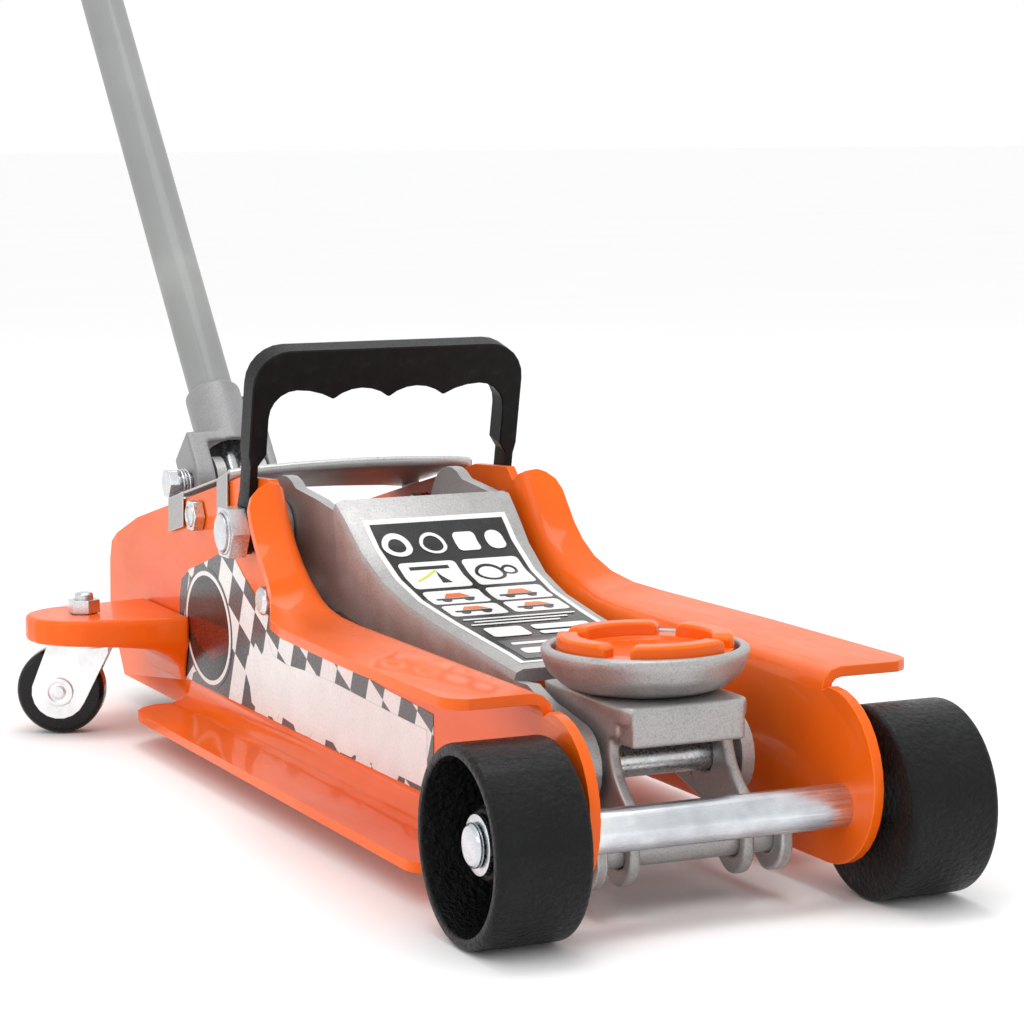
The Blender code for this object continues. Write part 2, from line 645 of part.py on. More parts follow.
def lift_arm():
    """Pressed channel: two webs and a curved top, with ears at the pivot and a lever below."""
    ear, nose, lobe = 23.0, 15.0, 13.0
    ay, az = ARM_PIVOT
    cy, cz = SADDLE_PIVOT
    ky, kz = RAM_PIN
    # top and bottom edges of the web as the same number of stations along the arm
    top = arc(SADDLE_PIVOT, nose, 180, 100, 5) + [(66.0, 68.0), (92.0, 76.0), (114.0, 78.6), (160.0, 83.8)]
    top += [(190.0, 88.0), (212.0, 94.0), (232.0, 104.0), (246.0, 115.0), (256.0, 122.0), (272.0, 120.5)]
    top += arc(ARM_PIVOT, ear, 125, 10, 8)
    top += [(ky + lobe - 2.5, kz + 14.0)] + arc((ky, kz), lobe, 20, 0, 1)
    low_front = arc(SADDLE_PIVOT, nose, 180, 290, 6)
    low = low_front + [(80.0, 44.0), (140.0, 58.0), (200.0, 68.0), (250.0, 76.0)]
    low += [(290.0, 74.0), (314.0, 62.0)]
    low += arc((ky, kz), lobe, 215, 360, 7)

    def height(chain, y):
        for (y0, z0), (y1, z1) in zip(chain, chain[1:]):
            if y0 <= y <= y1 and y1 > y0:
                return z0 + (z1 - z0) * (y - y0) / (y1 - y0)
        return chain[-1][1]

    plate_from, plate_to = 92.0, 256.0
    ys = sorted({round(y, 3) for y, _ in top + low if y >= cy - nose})
    bm = bmesh.new()
    rows = []
    for y in ys:
        half = arm_half_width(y)
        hi, lo = height(top, y), height(low, y)
        capped = plate_from <= y <= plate_to
        points = [(-half, lo), (-half, hi - 4.0 if capped else hi)]
        if capped:
            points += [(-half + 1.2, hi - 1.2), (-half + 4.0, hi)]
        points += [(-x, z) for x, z in reversed(points)]
        rows.append((capped, [bm.verts.new(Vector((x, y, z)) * MM) for x, z in points]))
    for (cap_a, a), (cap_b, b) in zip(rows, rows[1:]):
        pairs = [(0, 1), (-2, -1)]
        if cap_a and cap_b:
            pairs += [(k, k + 1) for k in range(1, 6)]
        for m, n in pairs:
            bm.faces.new((a[m], a[n], b[n], b[m]))
    bmesh.ops.remove_doubles(bm, verts=bm.verts, dist=0.00002)
    bmesh.ops.recalc_face_normals(bm, faces=bm.faces)
    side_face = max((f for f in bm.faces if abs(f.normal.x) > 0.9), key=lambda f: f.calc_area())
    if side_face.normal.x * side_face.calc_center_median().x < 0:
        bmesh.ops.reverse_faces(bm, faces=bm.faces)
    arm = new_mesh("lift_arm", bm, SILVER)
    skin = arm.modifiers.new("sheet", "SOLIDIFY")
    skin.thickness = ARM_T * MM
    skin.offset = -1.0
    skin.use_even_offset = True
    cut(arm, drill("arm_shaft_bore", SHAFT_R + GAP, 100, (0, *ARM_PIVOT)),
        drill("arm_saddle_bore", SADDLE_PIN_R + GAP, 100, (0, *SADDLE_PIVOT)),
        drill("arm_ram_bore", RAM_PIN_R + GAP, 100, (0, *RAM_PIN)))
    return smooth(arm, 30)


def saddle_bracket():
    """Casting that keeps the saddle level: two curved legs under a flat seat."""
    legs = []
    leg = arc((24.0, 19.4), 11.0, 185, 320, 8) + [(46.0, 31.0), (62.0, 45.0), (78.0, 60.0), (83.6, 73.0)]
    leg += [(24.0, 73.0), (24.0, 62.0), (29.4, 60.4), (28.6, 54.0), (25.6, 48.0), (20.6, 42.8), (15.6, 38.6),
            (12.8, 34.0), (12.6, 27.0)]
    for label, side in SIDES.items():
        legs.append(slab("bracket_leg_" + label, leg, 5.0, (side * BRACKET_LEG_X, 0, 0), group=CUTTERS))
    seat = slab("saddle_bracket", rounded_box_outline((-25.2, 16.0), (25.2, 84.0), 5.0), 6.3,
                (0, 0, 70.15), SILVER, plane=(0, 0, 0))
    front = box("bracket_front", (-22.4, 15.5, 58.6), (22.4, 30.6, 71.6), group=CUTTERS)
    weld(seat, *legs)
    weld(seat, front)
    cut(seat, drill("bracket_saddle_bore", SADDLE_PIN_R + GAP, 80, (0, *SADDLE_PIVOT)),
        drill("bracket_rod_bore", 6.3, 80, (0, *ROD_FRONT)),
        drill("bracket_stem_bore", 8.3, 20, (0, CUP_Y, 70), (0, 0, 0)))
    return seat


def radius_rod(name, side):
    """Flat bar with round ends, set outwards towards the rear."""
    dy, dz = ROD_REAR[0] - ROD_FRONT[0], ROD_REAR[1] - ROD_FRONT[1]
    length = math.hypot(dy, dz)
    uy, uz = dy / length, dz / length
    end_r, half = ROD_END_R, 7.0
    neck = math.sqrt(end_r ** 2 - half ** 2)
    turns = [math.radians(a) for a in (0, 25, 50, 75)]
    stations = [(-end_r * math.cos(turn), end_r * math.sin(turn)) for turn in turns]
    stations += [(0.0, end_r), (neck * 0.6, end_r * 0.78), (neck, half), (40.0, half), (200.0, half)]
    tail = [(length - s, h) for s, h in reversed(stations[:7])]
    bm = bmesh.new()
    rows = []
    for s, h in stations + tail:
        share = min(max((s - 40.0) / 160.0, 0.0), 1.0)
        x = side * (ROD_FRONT_X + (ROD_REAR_X - ROD_FRONT_X) * share)
        row = []
        for sign in (-1, 1):
            y = ROD_FRONT[0] + uy * s - uz * h * sign
            z = ROD_FRONT[1] + uz * s + uy * h * sign
            row.append(bm.verts.new(Vector((x, y, z)) * MM))
        rows.append(row)
    for a, b in zip(rows, rows[1:]):
        bm.faces.new((a[0], a[1], b[1], b[0]))
    bmesh.ops.remove_doubles(bm, verts=bm.verts, dist=0.00002)
    bar = new_mesh(name, bm, SILVER)
    skin = bar.modifiers.new("bar", "SOLIDIFY")
    skin.thickness = 5.0 * MM
    skin.offset = 0.0
    cut(bar, drill(name + "_front_bore", 6.3, 14, (side * ROD_FRONT_X, *ROD_FRONT)),
        drill(name + "_rear_bore", ROD_PIN_R + GAP, 14, (side * ROD_REAR_X, *ROD_REAR)))
    return bar


def saddle_cup():
    """Round cast cup that turns on a short stem."""
    inner = [(0.0, 79.0), (31.0, 79.0), (33.0, 82.0), (34.0, 89.8)]
    outer = [(CUP_R, 89.2), (CUP_R, 86.0), (35.5, 80.5), (30.0, 75.6), (24.5, 73.7), (8.0, 73.7),
             (8.0, 62.5), (0.0, 62.5)]
    return turned("saddle_cup", inner + outer, (0, CUP_Y, 0), (0, 0, 0), SILVER, steps=32, closed=False)


def saddle_pad():
    """Insert with four raised crown segments around a low middle."""
    profile = [(0.0, PAD_LOW), (22.5, PAD_LOW), (24.5, PAD_TOP), (31.2, PAD_TOP), (32.2, PAD_TOP - 1.4),
               (32.2, 82.6), (30.6, 79.4), (0.0, 79.4)]
    pad = turned("saddle_pad", profile, (0, CUP_Y, 0), (0, 0, 0), ORANGE, steps=32, closed=False)
    slots = []
    for turn in (45.0, 135.0):
        slot = box(f"pad_slot_{turn:.0f}", (-40, -4, 0.0), (40, 4, 8.0), group=CUTTERS)
        slot.location = Vector((0, CUP_Y, PAD_LOW + 5.6)) * MM
        slot.rotation_euler = (0, 0, math.radians(turn))
        slots.append(slot)
    return cut(pad, *slots)


# ---------------------------------------------------------------- moving groups
def build_linkage(root):
    arm = pivot("arm_lift_pivot", (0, *ARM_PIVOT), root)
    attach(arm, lift_arm(), rod("ram_pin", RAM_PIN_R, 88, (0, *RAM_PIN), X_AXIS, ZINC),
           rod("saddle_pin", SADDLE_PIN_R, 66.4, (0, *SADDLE_PIVOT), X_AXIS, ZINC))
    level = pivot("saddle_level_pivot", (0, *SADDLE_PIVOT), arm)
    attach(level, saddle_bracket(), rod("bracket_shaft", 6.0, 80, (0, *ROD_FRONT), X_AXIS, SILVER))
    swivel = pivot("saddle_swivel_pivot", (0, CUP_Y, 73.7), level)
    attach(swivel, saddle_cup(), saddle_pad())
    for label, side in SIDES.items():
        hinge = pivot(f"radius_rod_{label}_pivot", (side * ROD_REAR_X, *ROD_REAR), root)
        attach(hinge, radius_rod("radius_rod_" + label, side))


def build_ram(root):
    """Ram, crosshead and seal slide forwards out of the cylinder."""
    slide = pivot("ram_slide", (0, BARREL_FRONT, RAM_Z), root)
    forward = (math.pi / 2.0, 0.0, 0.0)
    front, tail = -353.5, -450.0
    profile = [(0.0, front), (RAM_R, front), (RAM_R, tail + 14), (13.7, tail + 14), (13.7, tail + 9),
               (11.6, tail + 9), (11.6, tail + 4), (13.7, tail + 4), (13.7, tail), (0.0, tail)]
    ram = turned("ram", profile, (0, 0, RAM_Z), forward, STEEL, steps=24, closed=False)
    seal = ring("piston_seal", 11.9, 13.9, tail + 4.3, tail + 8.7, (0, 0, RAM_Z), forward, SEAL, 24)
    cross_outline = rounded_box_outline((327.0, 31.5), (353.2, 67.5), 4.0)
    slot_r = RAM_PIN_R + 0.8
    slot = arc((RAM_PIN[0], 54.0), slot_r, 0, 180, 8) + arc((RAM_PIN[0], 45.0), slot_r, 180, 360, 8)
    crosshead = slab("crosshead", cross_outline, 50.0, (0, 0, 0), STEEL)
    cut(crosshead, slab("crosshead_slot", slot, 60.0, (0, 0, 0), group=CUTTERS))
    attach(slide, ram, seal, crosshead)


def handle_socket():
    """Casting that holds the handle tube, with a fork over the pump block's ears."""
    tilt = (math.radians(HANDLE_LEAN) - math.pi / 2.0, 0.0, 0.0)
    base = Vector((0, *HANDLE_PIVOT))

    def up(distance):
        return base + HANDLE_DIR * distance

    barrel = [(12.6, BARREL_TOP), (BARREL_R, BARREL_TOP - 0.8), (BARREL_R, 14.0), (0.0, 14.0)]
    barrel.append((0.0, BARREL_TOP))
    socket = turned("handle_socket", barrel, base, tilt, SILVER, steps=28, closed=True)
    left, right = YOKE_END["left"], YOKE_END["right"]
    middle = Vector(((left + right) / 2.0, 0.0, 0.0))
    yoke = box("socket_yoke", (left, -12.5, 0.0), (right, 12.5, YOKE_HIGH), group=CUTTERS)
    yoke.location = (up(YOKE_HIGH / 2.0) + middle) * MM
    yoke.rotation_euler = tilt
    eye = drill("socket_eye", 12.5, right - left, base + middle, X_AXIS, segments=24)
    toe = (HANDLE_PIVOT[0], HANDLE_PIVOT[1] - HEEL_ARM)
    heel = slab("socket_heel", link_outline(HANDLE_PIVOT, 6.0, toe, 5.0), 9.2, (PLUNGER_X, 0, 0), group=CUTTERS)
    weld(socket, yoke, eye, heel)
    gap = box("socket_gap", (-YOKE_GAP, -20.0, -22.0), (YOKE_GAP, 20.0, 22.0), group=CUTTERS)
    gap.location = up(-6.0) * MM
    gap.rotation_euler = tilt
    bore = drill("socket_bore", TUBE_R + GAP, 70.0, up(45.0), tilt, segments=28)
    pin = drill("socket_pin_bore", PIN_R + GAP, 60.0, base)
    screw = drill("socket_screw_bore", 3.3, 24.0, up(CLAMP_AT) + Vector((20.0, 0, 0)))
    return cut(socket, gap, bore, pin, screw)


def build_handle(root):
    tilt = (math.radians(HANDLE_LEAN) - math.pi / 2.0, 0.0, 0.0)
    base = Vector((0, *HANDLE_PIVOT))
    pump = pivot("handle_pump_pivot", base, root)
    screw = hexagon("clamp_screw", 10.0, 5.0, base + HANDLE_DIR * CLAMP_AT + Vector((16.9, 0, 0)), X_AXIS, ZINC)
    weld(screw, drill("clamp_shank", 3.0, 5.6, base + HANDLE_DIR * CLAMP_AT + Vector((14.4, 0, 0))))
    attach(pump, handle_socket(), screw)
    twist = pivot("handle_twist_pivot", base, pump)
    tube_low, tube_top = 20.0, HANDLE_LENGTH - 4.0
    tube = turned("handle_tube", [(TUBE_R, tube_top), (TUBE_R, tube_low), (9.4, tube_low), (9.4, tube_top)],
                  base, tilt, TUBE_GREY, steps=24)
    grip_low = HANDLE_LENGTH - GRIP_LENGTH
    end, waist, bore = HANDLE_LENGTH, 13.6, TUBE_R + GAP
    grip = [(0.0, end), (12.5, end), (GRIP_R, end - GRIP_CHAMFER), (GRIP_R, end - 9), (waist, end - 12)]
    grip += [(waist, grip_low + 12), (GRIP_R, grip_low + 9), (GRIP_R, grip_low + 1.5), (14.5, grip_low)]
    grip += [(bore, grip_low), (bore, tube_top + GAP), (0.0, tube_top + GAP)]
    sleeve = turned("handle_grip", grip, base, tilt, RUBBER, steps=24, closed=False)
    key = [(0, 30.0), (8.9, 30.0), (8.9, 26.0), (3.8, 24.0), (3.8, 4.0), (2.6, 1.2), (0, 0.6)]
    joint = turned("valve_joint", key, base, tilt, STEEL, steps=16, closed=False)
    attach(twist, tube, sleeve, joint)


def build_pump(root):
    """Plunger pushed in by the handle's heel."""
    slide = pivot("plunger_slide", (PLUNGER_X, HANDLE_PIVOT[0], HANDLE_PIVOT[1] - HEEL_ARM), root)
    head = -(HANDLE_PIVOT[0] - 6.4)
    profile = [(0.0, -469.0), (4.4, -469.0), (4.4, head + 1.0), (3.4, head), (0.0, head)]
    plunger = turned("pump_plunger", profile, (PLUNGER_X, 0, HANDLE_PIVOT[1] - HEEL_ARM),
                     (math.pi / 2.0, 0.0, 0.0), STEEL, steps=16, closed=False)
    attach(slide, plunger)


def carry_handle():
    """Moulded bail: two legs on the pivot shaft and a bar with finger scallops."""
    eye_in, eye_out = CARRY_EYE
    grip, dip, pitch = CARRY_TOP - CARRY_BAR, CARRY_DIP, FINGER_PITCH
    corner = 16.0
    half = arc((CARRY_OUT - corner, CARRY_TOP - corner), corner, 90, 0, 6)
    half += [(CARRY_OUT, 36.0), (eye_out, 31.0), (eye_out, 11.0)]
    half += [(eye_in, 11.0), (eye_in, 31.0), (CARRY_IN, 36.0)]
    half += arc((CARRY_IN - 12.0, grip - 12.0), 12.0, 0, 90, 5)
    reach = CARRY_IN - 12.0 - pitch
    for middle, chord, swing in ((CARRY_IN - 12.0, reach, 1), (pitch / 2.0, pitch / 2.0, 2)):
        radius = (chord ** 2 + dip ** 2) / (2.0 * dip)
        spread = math.degrees(math.asin(chord / radius))
        start = 90.0 if swing == 1 else 90.0 - spread
        half += arc((middle, grip - radius), radius, start, 90.0 + spread, 3 * swing)[1:]
    outline = half + [(-x, z) for x, z in reversed(half[:-1])]
    bail = slab("carry_handle", outline, CARRY_DEEP, (0, 0, 0), PLASTIC, plane=(math.pi / 2.0, 0, 0))
    bail.location = Vector((0, *ARM_PIVOT)) * MM
    bevel(bail, 1.4, 1, 50)
    for label, side in SIDES.items():
        eye = slab("carry_eye_" + label, link_outline((0, 0.0), 10.0, (0, 14.0), 7.0), eye_out - eye_in - 0.6,
                   (side * (eye_in + eye_out) / 2.0, *ARM_PIVOT), group=CUTTERS)
        weld(bail, eye)
    return cut(bail, drill("carry_bore", SHAFT_R + GAP, 200, (0, *ARM_PIVOT), segments=24))


def build_carry_handle(root):
    hinge = pivot("carry_handle_pivot", (0, *ARM_PIVOT), root)
    attach(hinge, carry_handle())
    hinge.rotation_euler.x = -math.radians(CARRY_LEAN)


def build_front_wheels(root):
    for label, side in SIDES.items():
        spin = pivot(f"front_wheel_{label}_pivot", (side * (WHEEL_IN + WHEEL_OUT) / 2.0, 0, WHEEL_R), root)
        attach(spin, front_wheel("front_wheel_" + label, side))


def caster_fork(name, at, turn):
    """Pressed fork: two cheeks, a crown and the bearing boss above it."""
    cheeks = []
    crown = rod(name, 16.0, 3.0, at + Vector((0, 0, 42.2)), (0, 0, turn), ZINC, segments=24)
    for tag, offset in (("a", -CHEEK_X), ("b", CHEEK_X)):
        points = arc((-CASTER_TRAIL, CASTER_R), CHEEK_R, 150, 335, 10)
        points += [(12.0, 38.0), (12.0, 42.4), (-15.5, 42.4)]
        cheek = slab(f"{name}_{tag}", points, 2.2, (0, 0, 0), group=CUTTERS, plane=(math.pi / 2.0, 0, turn))
        sideways = Vector((-math.sin(turn), math.cos(turn), 0)) * offset
        cheek.location = (at + sideways) * MM
        cheeks.append(cheek)
    boss = rod(name + "_boss", 14.5, 5.6, at + Vector((0, 0, 45.2)), group=CUTTERS, segments=24)
    weld(crown, *cheeks)
    weld(crown, boss)
    axle_at = at + Vector((-math.cos(turn) * CASTER_TRAIL, -math.sin(turn) * CASTER_TRAIL, CASTER_R))
    axle_turn = (math.pi / 2.0, 0.0, turn)
    cut(crown, drill(name + "_king_bore", 5.35, 30, at + Vector((0, 0, 42)), (0, 0, 0)),
        drill(name + "_axle_bore", 3.3, 40, axle_at, axle_turn))
    return crown, axle_at, axle_turn


def build_casters(root):
    for label, side in SIDES.items():
        turn = math.pi / 2.0 + side * math.radians(90.0 - CASTER_TURN)
        at = Vector((side * STEM_X, STEM_Y, 0))
        swivel = pivot(f"caster_swivel_{label}_pivot", at, root)
        fork, axle_at, axle_turn = caster_fork("caster_fork_" + label, at, turn)
        head = [(0, 12.4), (3.4, 12.2), (4.6, 11.0), (4.6, 10.6), (3.0, 10.6)]
        rivet = head + [(r, -h) for r, h in reversed(head)]
        axle = turned("caster_axle_" + label, rivet, axle_at, axle_turn, ZINC, steps=16, closed=False)
        attach(swivel, fork, axle)
        spin = pivot(f"caster_wheel_{label}_pivot", axle_at, swivel)
        tyre = [(18.6, 7.4), (CASTER_R, 5.4), (CASTER_R, -5.4), (18.6, -7.4), (3.3, -7.4), (3.3, 7.4)]
        attach(spin, turned("caster_wheel_" + label, tyre, axle_at, axle_turn, PLASTIC, steps=32))


root_empty = pivot("jack_root", (0, 0, 0))
root_empty.location = (0.0, ROOT_Y * MM, 0.0)
build_frame(root_empty)
valve_stem = build_power_unit(root_empty)
valve_pivot = pivot("release_valve_pivot", (0, *HANDLE_PIVOT), root_empty)
attach(valve_pivot, valve_stem)
build_linkage(root_empty)
build_ram(root_empty)
build_handle(root_empty)
build_pump(root_empty)
build_carry_handle(root_empty)
build_front_wheels(root_empty)
build_casters(root_empty)
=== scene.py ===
"""Looks of the orange car jack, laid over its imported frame.

The drawing's sizes are millimetres, with the front axle over y = 0 and the left side towards -X.
"""
import json
import math

import bmesh
import bpy
from mathutils import Euler, Matrix, Vector
from mathutils.bvhtree import BVHTree

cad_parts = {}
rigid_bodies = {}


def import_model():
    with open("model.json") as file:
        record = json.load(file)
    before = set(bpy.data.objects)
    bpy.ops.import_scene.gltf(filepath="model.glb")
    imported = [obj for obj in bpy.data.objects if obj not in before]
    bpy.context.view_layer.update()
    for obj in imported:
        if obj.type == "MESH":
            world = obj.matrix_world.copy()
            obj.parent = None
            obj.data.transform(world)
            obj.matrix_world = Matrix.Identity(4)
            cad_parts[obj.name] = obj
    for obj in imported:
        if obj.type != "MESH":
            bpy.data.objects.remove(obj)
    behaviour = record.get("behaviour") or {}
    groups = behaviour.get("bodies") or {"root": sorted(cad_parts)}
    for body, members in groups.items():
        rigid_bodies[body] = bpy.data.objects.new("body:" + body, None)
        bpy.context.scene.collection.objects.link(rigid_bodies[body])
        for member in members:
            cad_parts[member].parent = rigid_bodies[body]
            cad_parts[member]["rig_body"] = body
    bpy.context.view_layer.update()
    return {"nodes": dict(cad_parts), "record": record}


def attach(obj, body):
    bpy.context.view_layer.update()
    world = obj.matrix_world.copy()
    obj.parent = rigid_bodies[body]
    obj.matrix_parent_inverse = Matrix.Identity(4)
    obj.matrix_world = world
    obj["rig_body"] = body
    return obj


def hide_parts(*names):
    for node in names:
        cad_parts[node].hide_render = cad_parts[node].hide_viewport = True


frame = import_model()
NODES = frame["nodes"]

MM = 0.001
ROOT_Y = -445.4896  # the drawing's front axle in the frame, whose origin is the middle of the jack
SIDES = {"left": -1, "right": 1}

WHEEL_R = 35.0
WHEEL_IN, WHEEL_OUT = 61.0, 96.3
PIVOT = (312.0, 104.0)
COVER_BOLT = (379.0, 103.5)
SADDLE_Y = 50.0
CROWN_LOW, CROWN_TOP = 88.0, 93.6
CASTER_STEM = (97.0, 430.0)
CASTER_R = 20.0
CASTER_TURN = -24.3
CASTER_TRAIL = 11.0
HANDLE_ROOT = (494.0, 105.0)
HANDLE_RISE = 49.5
HANDLE_END = 650.0
PLATE_FACE = 56.8
COVER_FRONT, COVER_TOP = 338.6, 125.0

CAMERA_HEADING, CAMERA_PITCH, CAMERA_ROLL = 24.269, -6.953, -0.428
CAMERA_PLACE = (-0.4940, -1.3755, 0.2713)
CAMERA_LENS = 108.475


def at(x, y, z):
    """A point of the drawing, in millimetres, as a place in the frame."""
    return Vector((x, y + ROOT_Y, z)) * MM


# ---------------------------------------------------------------- materials

def shader(name, **sockets):
    """A new material and its Principled shader, with the constants set on the sockets themselves."""
    made = bpy.data.materials.new(name)
    made.use_nodes = True
    nodes = made.node_tree.nodes
    surface = nodes["Principled BSDF"]
    for socket, value in sockets.items():
        surface.inputs[socket.replace("_", " ")].default_value = value
    made.diffuse_color = surface.inputs["Base Color"].default_value
    return made, nodes, made.node_tree.links, surface


def place_coords(nodes, links, scale=(1.0, 1.0, 1.0)):
    """Object coordinates, stretched: every mesh lies in the frame's own metres."""
    coords = nodes.new("ShaderNodeTexCoord")
    mapping = nodes.new("ShaderNodeMapping")
    mapping.inputs["Scale"].default_value = scale
    links.new(coords.outputs["Object"], mapping.inputs["Vector"])
    return mapping.outputs["Vector"]


def noise(nodes, links, vector, scale, detail=3.0, rough=0.55):
    found = nodes.new("ShaderNodeTexNoise")
    found.inputs["Scale"].default_value = scale
    found.inputs["Detail"].default_value = detail
    found.inputs["Roughness"].default_value = rough
    links.new(vector, found.inputs["Vector"])
    return found.outputs["Fac"]


def cells(nodes, links, vector, scale, feature="F1"):
    found = nodes.new("ShaderNodeTexVoronoi")
    found.feature = feature
    found.inputs["Scale"].default_value = scale
    links.new(vector, found.inputs["Vector"])
    return found.outputs["Distance"]


def ramp(nodes, links, factor, *stops):
    """A colour ramp through (place, colour) stops."""
    found = nodes.new("ShaderNodeValToRGB")
    band = found.color_ramp
    while len(band.elements) < len(stops):
        band.elements.new(0.5)
    for element, (place, colour) in zip(band.elements, stops):
        element.position = place
        element.color = (*colour, 1.0) if len(colour) == 3 else colour
    links.new(factor, found.inputs["Fac"])
    return found.outputs["Color"]


def mix(nodes, links, factor, a, b, blend="MIX"):
    found = nodes.new("ShaderNodeMix")
    found.data_type = "RGBA"
    found.blend_type = blend
    for socket, value in ((found.inputs["Factor"], factor), (found.inputs["A"], a), (found.inputs["B"], b)):
        if isinstance(value, (int, float)):
            socket.default_value = value
        elif isinstance(value, tuple):
            socket.default_value = (*value, 1.0)
        else:
            links.new(value, socket)
    return found.outputs["Result"]


def span(nodes, links, factor, low, high, start=0.3, end=0.7):
    """The factor's middle part, spread from low to high."""
    found = nodes.new("ShaderNodeMapRange")
    for socket, value in zip(("From Min", "From Max", "To Min", "To Max"), (start, end, low, high)):
        found.inputs[socket].default_value = value
    links.new(factor, found.inputs["Value"])
    return found.outputs["Result"]


def bumps(nodes, links, surface, *layers):
    """Height layers (height, strength, distance), one bump on top of another."""
    below = None
    for height, strength, distance in layers:
        found = nodes.new("ShaderNodeBump")
        found.inputs["Strength"].default_value = strength
        found.inputs["Distance"].default_value = distance
        links.new(height, found.inputs["Height"])
        if below is not None:
            links.new(below, found.inputs["Normal"])
        below = found.outputs["Normal"]
    links.new(below, surface.inputs["Normal"])


def shade(colour, share):
    return tuple(min(1.0, c * share) for c in colour)


def enamel(name, colour, paler_tone, coat=0.6, rough=0.34, peel=0.10):
    """Glossy sprayed enamel: cloudy depth, orange peel, a few dust nibs and faint rub marks."""
    made, nodes, links, surface = shader(name, Base_Color=(*colour, 1.0), Roughness=rough, Coat_Weight=coat,
                                         Coat_Roughness=0.06, Coat_IOR=1.45, Specular_IOR_Level=0.12)
    vector = place_coords(nodes, links)
    cloud = noise(nodes, links, vector, 14.0, 4.0)
    # the paler tone is random here; in the edge paint its lightness is partly wear, partly painted highlight
    base = ramp(nodes, links, cloud, (0.3, shade(colour, 0.90)), (0.55, colour), (0.75, paler_tone))
    nib = cells(nodes, links, vector, 95.0)
    dust = ramp(nodes, links, nib, (0.0, (1.0, 1.0, 1.0)), (0.035, (0.0, 0.0, 0.0)))
    links.new(mix(nodes, links, dust, base, shade(paler_tone, 1.12)), surface.inputs["Base Color"])
    rub = noise(nodes, links, place_coords(nodes, links, (1.0, 0.25, 1.0)), 55.0, 6.0, 0.7)
    links.new(span(nodes, links, rub, rough - 0.07, rough + 0.13), surface.inputs["Roughness"])
    fine = noise(nodes, links, vector, 420.0, 2.0)
    bumps(nodes, links, surface, (fine, peel, 0.0004), (nib, 0.05, 0.0002))
    return made


def cast_paint(name, dark, light, rough=0.42, metal=0.25, grit=0.35):
    """Silver paint with metal flake over a casting or a sheared pressing."""
    made, nodes, links, surface = shader(name, Base_Color=(*light, 1.0), Roughness=rough, Metallic=metal,
                                         Specular_IOR_Level=0.5, Coat_Weight=0.15, Coat_Roughness=0.35)
    vector = place_coords(nodes, links)
    flake = cells(nodes, links, vector, 1500.0)
    cloud = noise(nodes, links, vector, 60.0, 5.0, 0.65)
    flaked = ramp(nodes, links, flake, (0.05, shade(light, 1.25)), (0.45, light), (0.85, dark))
    smut = ramp(nodes, links, cloud, (0.35, shade(light, 0.82)), (0.6, shade(light, 1.08)))
    links.new(mix(nodes, links, 0.5, flaked, smut), surface.inputs["Base Color"])
    links.new(span(nodes, links, cloud, rough - 0.08, rough + 0.12), surface.inputs["Roughness"])
    skin = noise(nodes, links, vector, 700.0, 3.0, 0.6)
    wave = noise(nodes, links, vector, 130.0, 2.0)
    bumps(nodes, links, surface, (wave, grit * 0.5, 0.0006), (skin, grit, 0.0003))
    return made


def plated(name, colour, rough=0.27, stretch=(1.0, 1.0, 1.0), tint=(0.80, 0.78, 0.66)):
    """Zinc plate or bare steel: drawn streaks, cloudy passivation and small dull spots."""
    made, nodes, links, surface = shader(name, Base_Color=(*colour, 1.0), Roughness=rough, Metallic=1.0)
    drawn = noise(nodes, links, place_coords(nodes, links, stretch), 900.0, 4.0, 0.6)
    vector = place_coords(nodes, links)
    cloud = noise(nodes, links, vector, 70.0, 4.0)
    spots = cells(nodes, links, vector, 420.0)
    base = ramp(nodes, links, cloud, (0.32, shade(colour, 0.80)), (0.55, colour), (0.72, tint))
    dull = ramp(nodes, links, spots, (0.0, shade(colour, 1.05)), (0.16, (1.0, 1.0, 1.0)))
    links.new(mix(nodes, links, 0.65, base, dull, "MULTIPLY"), surface.inputs["Base Color"])
    links.new(span(nodes, links, drawn, rough - 0.10, rough + 0.16), surface.inputs["Roughness"])
    bumps(nodes, links, surface, (drawn, 0.14, 0.0002), (cloud, 0.12, 0.0004))
    return made


def dark_coat(name, colour, rough, scale, grit, coat=0.0, pits=0.0, depth=0.0005):
    """Paint, plastic, rubber or print with its own grain; near-black ones vary most."""
    made, nodes, links, surface = shader(name, Base_Color=(*colour, 1.0), Roughness=rough, Coat_Weight=coat,
                                         Coat_Roughness=0.18, Specular_IOR_Level=0.15)
    vector = place_coords(nodes, links)
    grain = noise(nodes, links, vector, scale, 5.0, 0.65)
    broad = noise(nodes, links, vector, scale * 0.12, 3.0)
    low, high = (0.7, 1.9) if colour[0] < 0.05 else (0.95, 1.06)
    base = ramp(nodes, links, broad, (0.3, shade(colour, low)), (0.55, colour), (0.75, shade(colour, high)))
    links.new(base, surface.inputs["Base Color"])
    links.new(span(nodes, links, grain, max(0.05, rough - 0.12), rough + 0.15), surface.inputs["Roughness"])
    layers = [(broad, grit * 0.5, depth * 2.0), (grain, grit, depth)]
    if pits:
        layers.append((cells(nodes, links, vector, scale * 0.8), pits, depth))
    bumps(nodes, links, surface, *layers)
    return made


ORANGE = (0.86, 0.122, 0.003)
# The two paler oranges: in the main paint a random paler tone; on the bevelled edges partly edge wear, partly
# painted highlight.
ORANGE_WORN_AND_SHEEN = (0.90, 0.155, 0.006)
ORANGE_RUBBED_AND_SHEEN = (0.93, 0.20, 0.015)
SILVER = (0.42, 0.415, 0.41)
ZINC = (0.70, 0.72, 0.74)

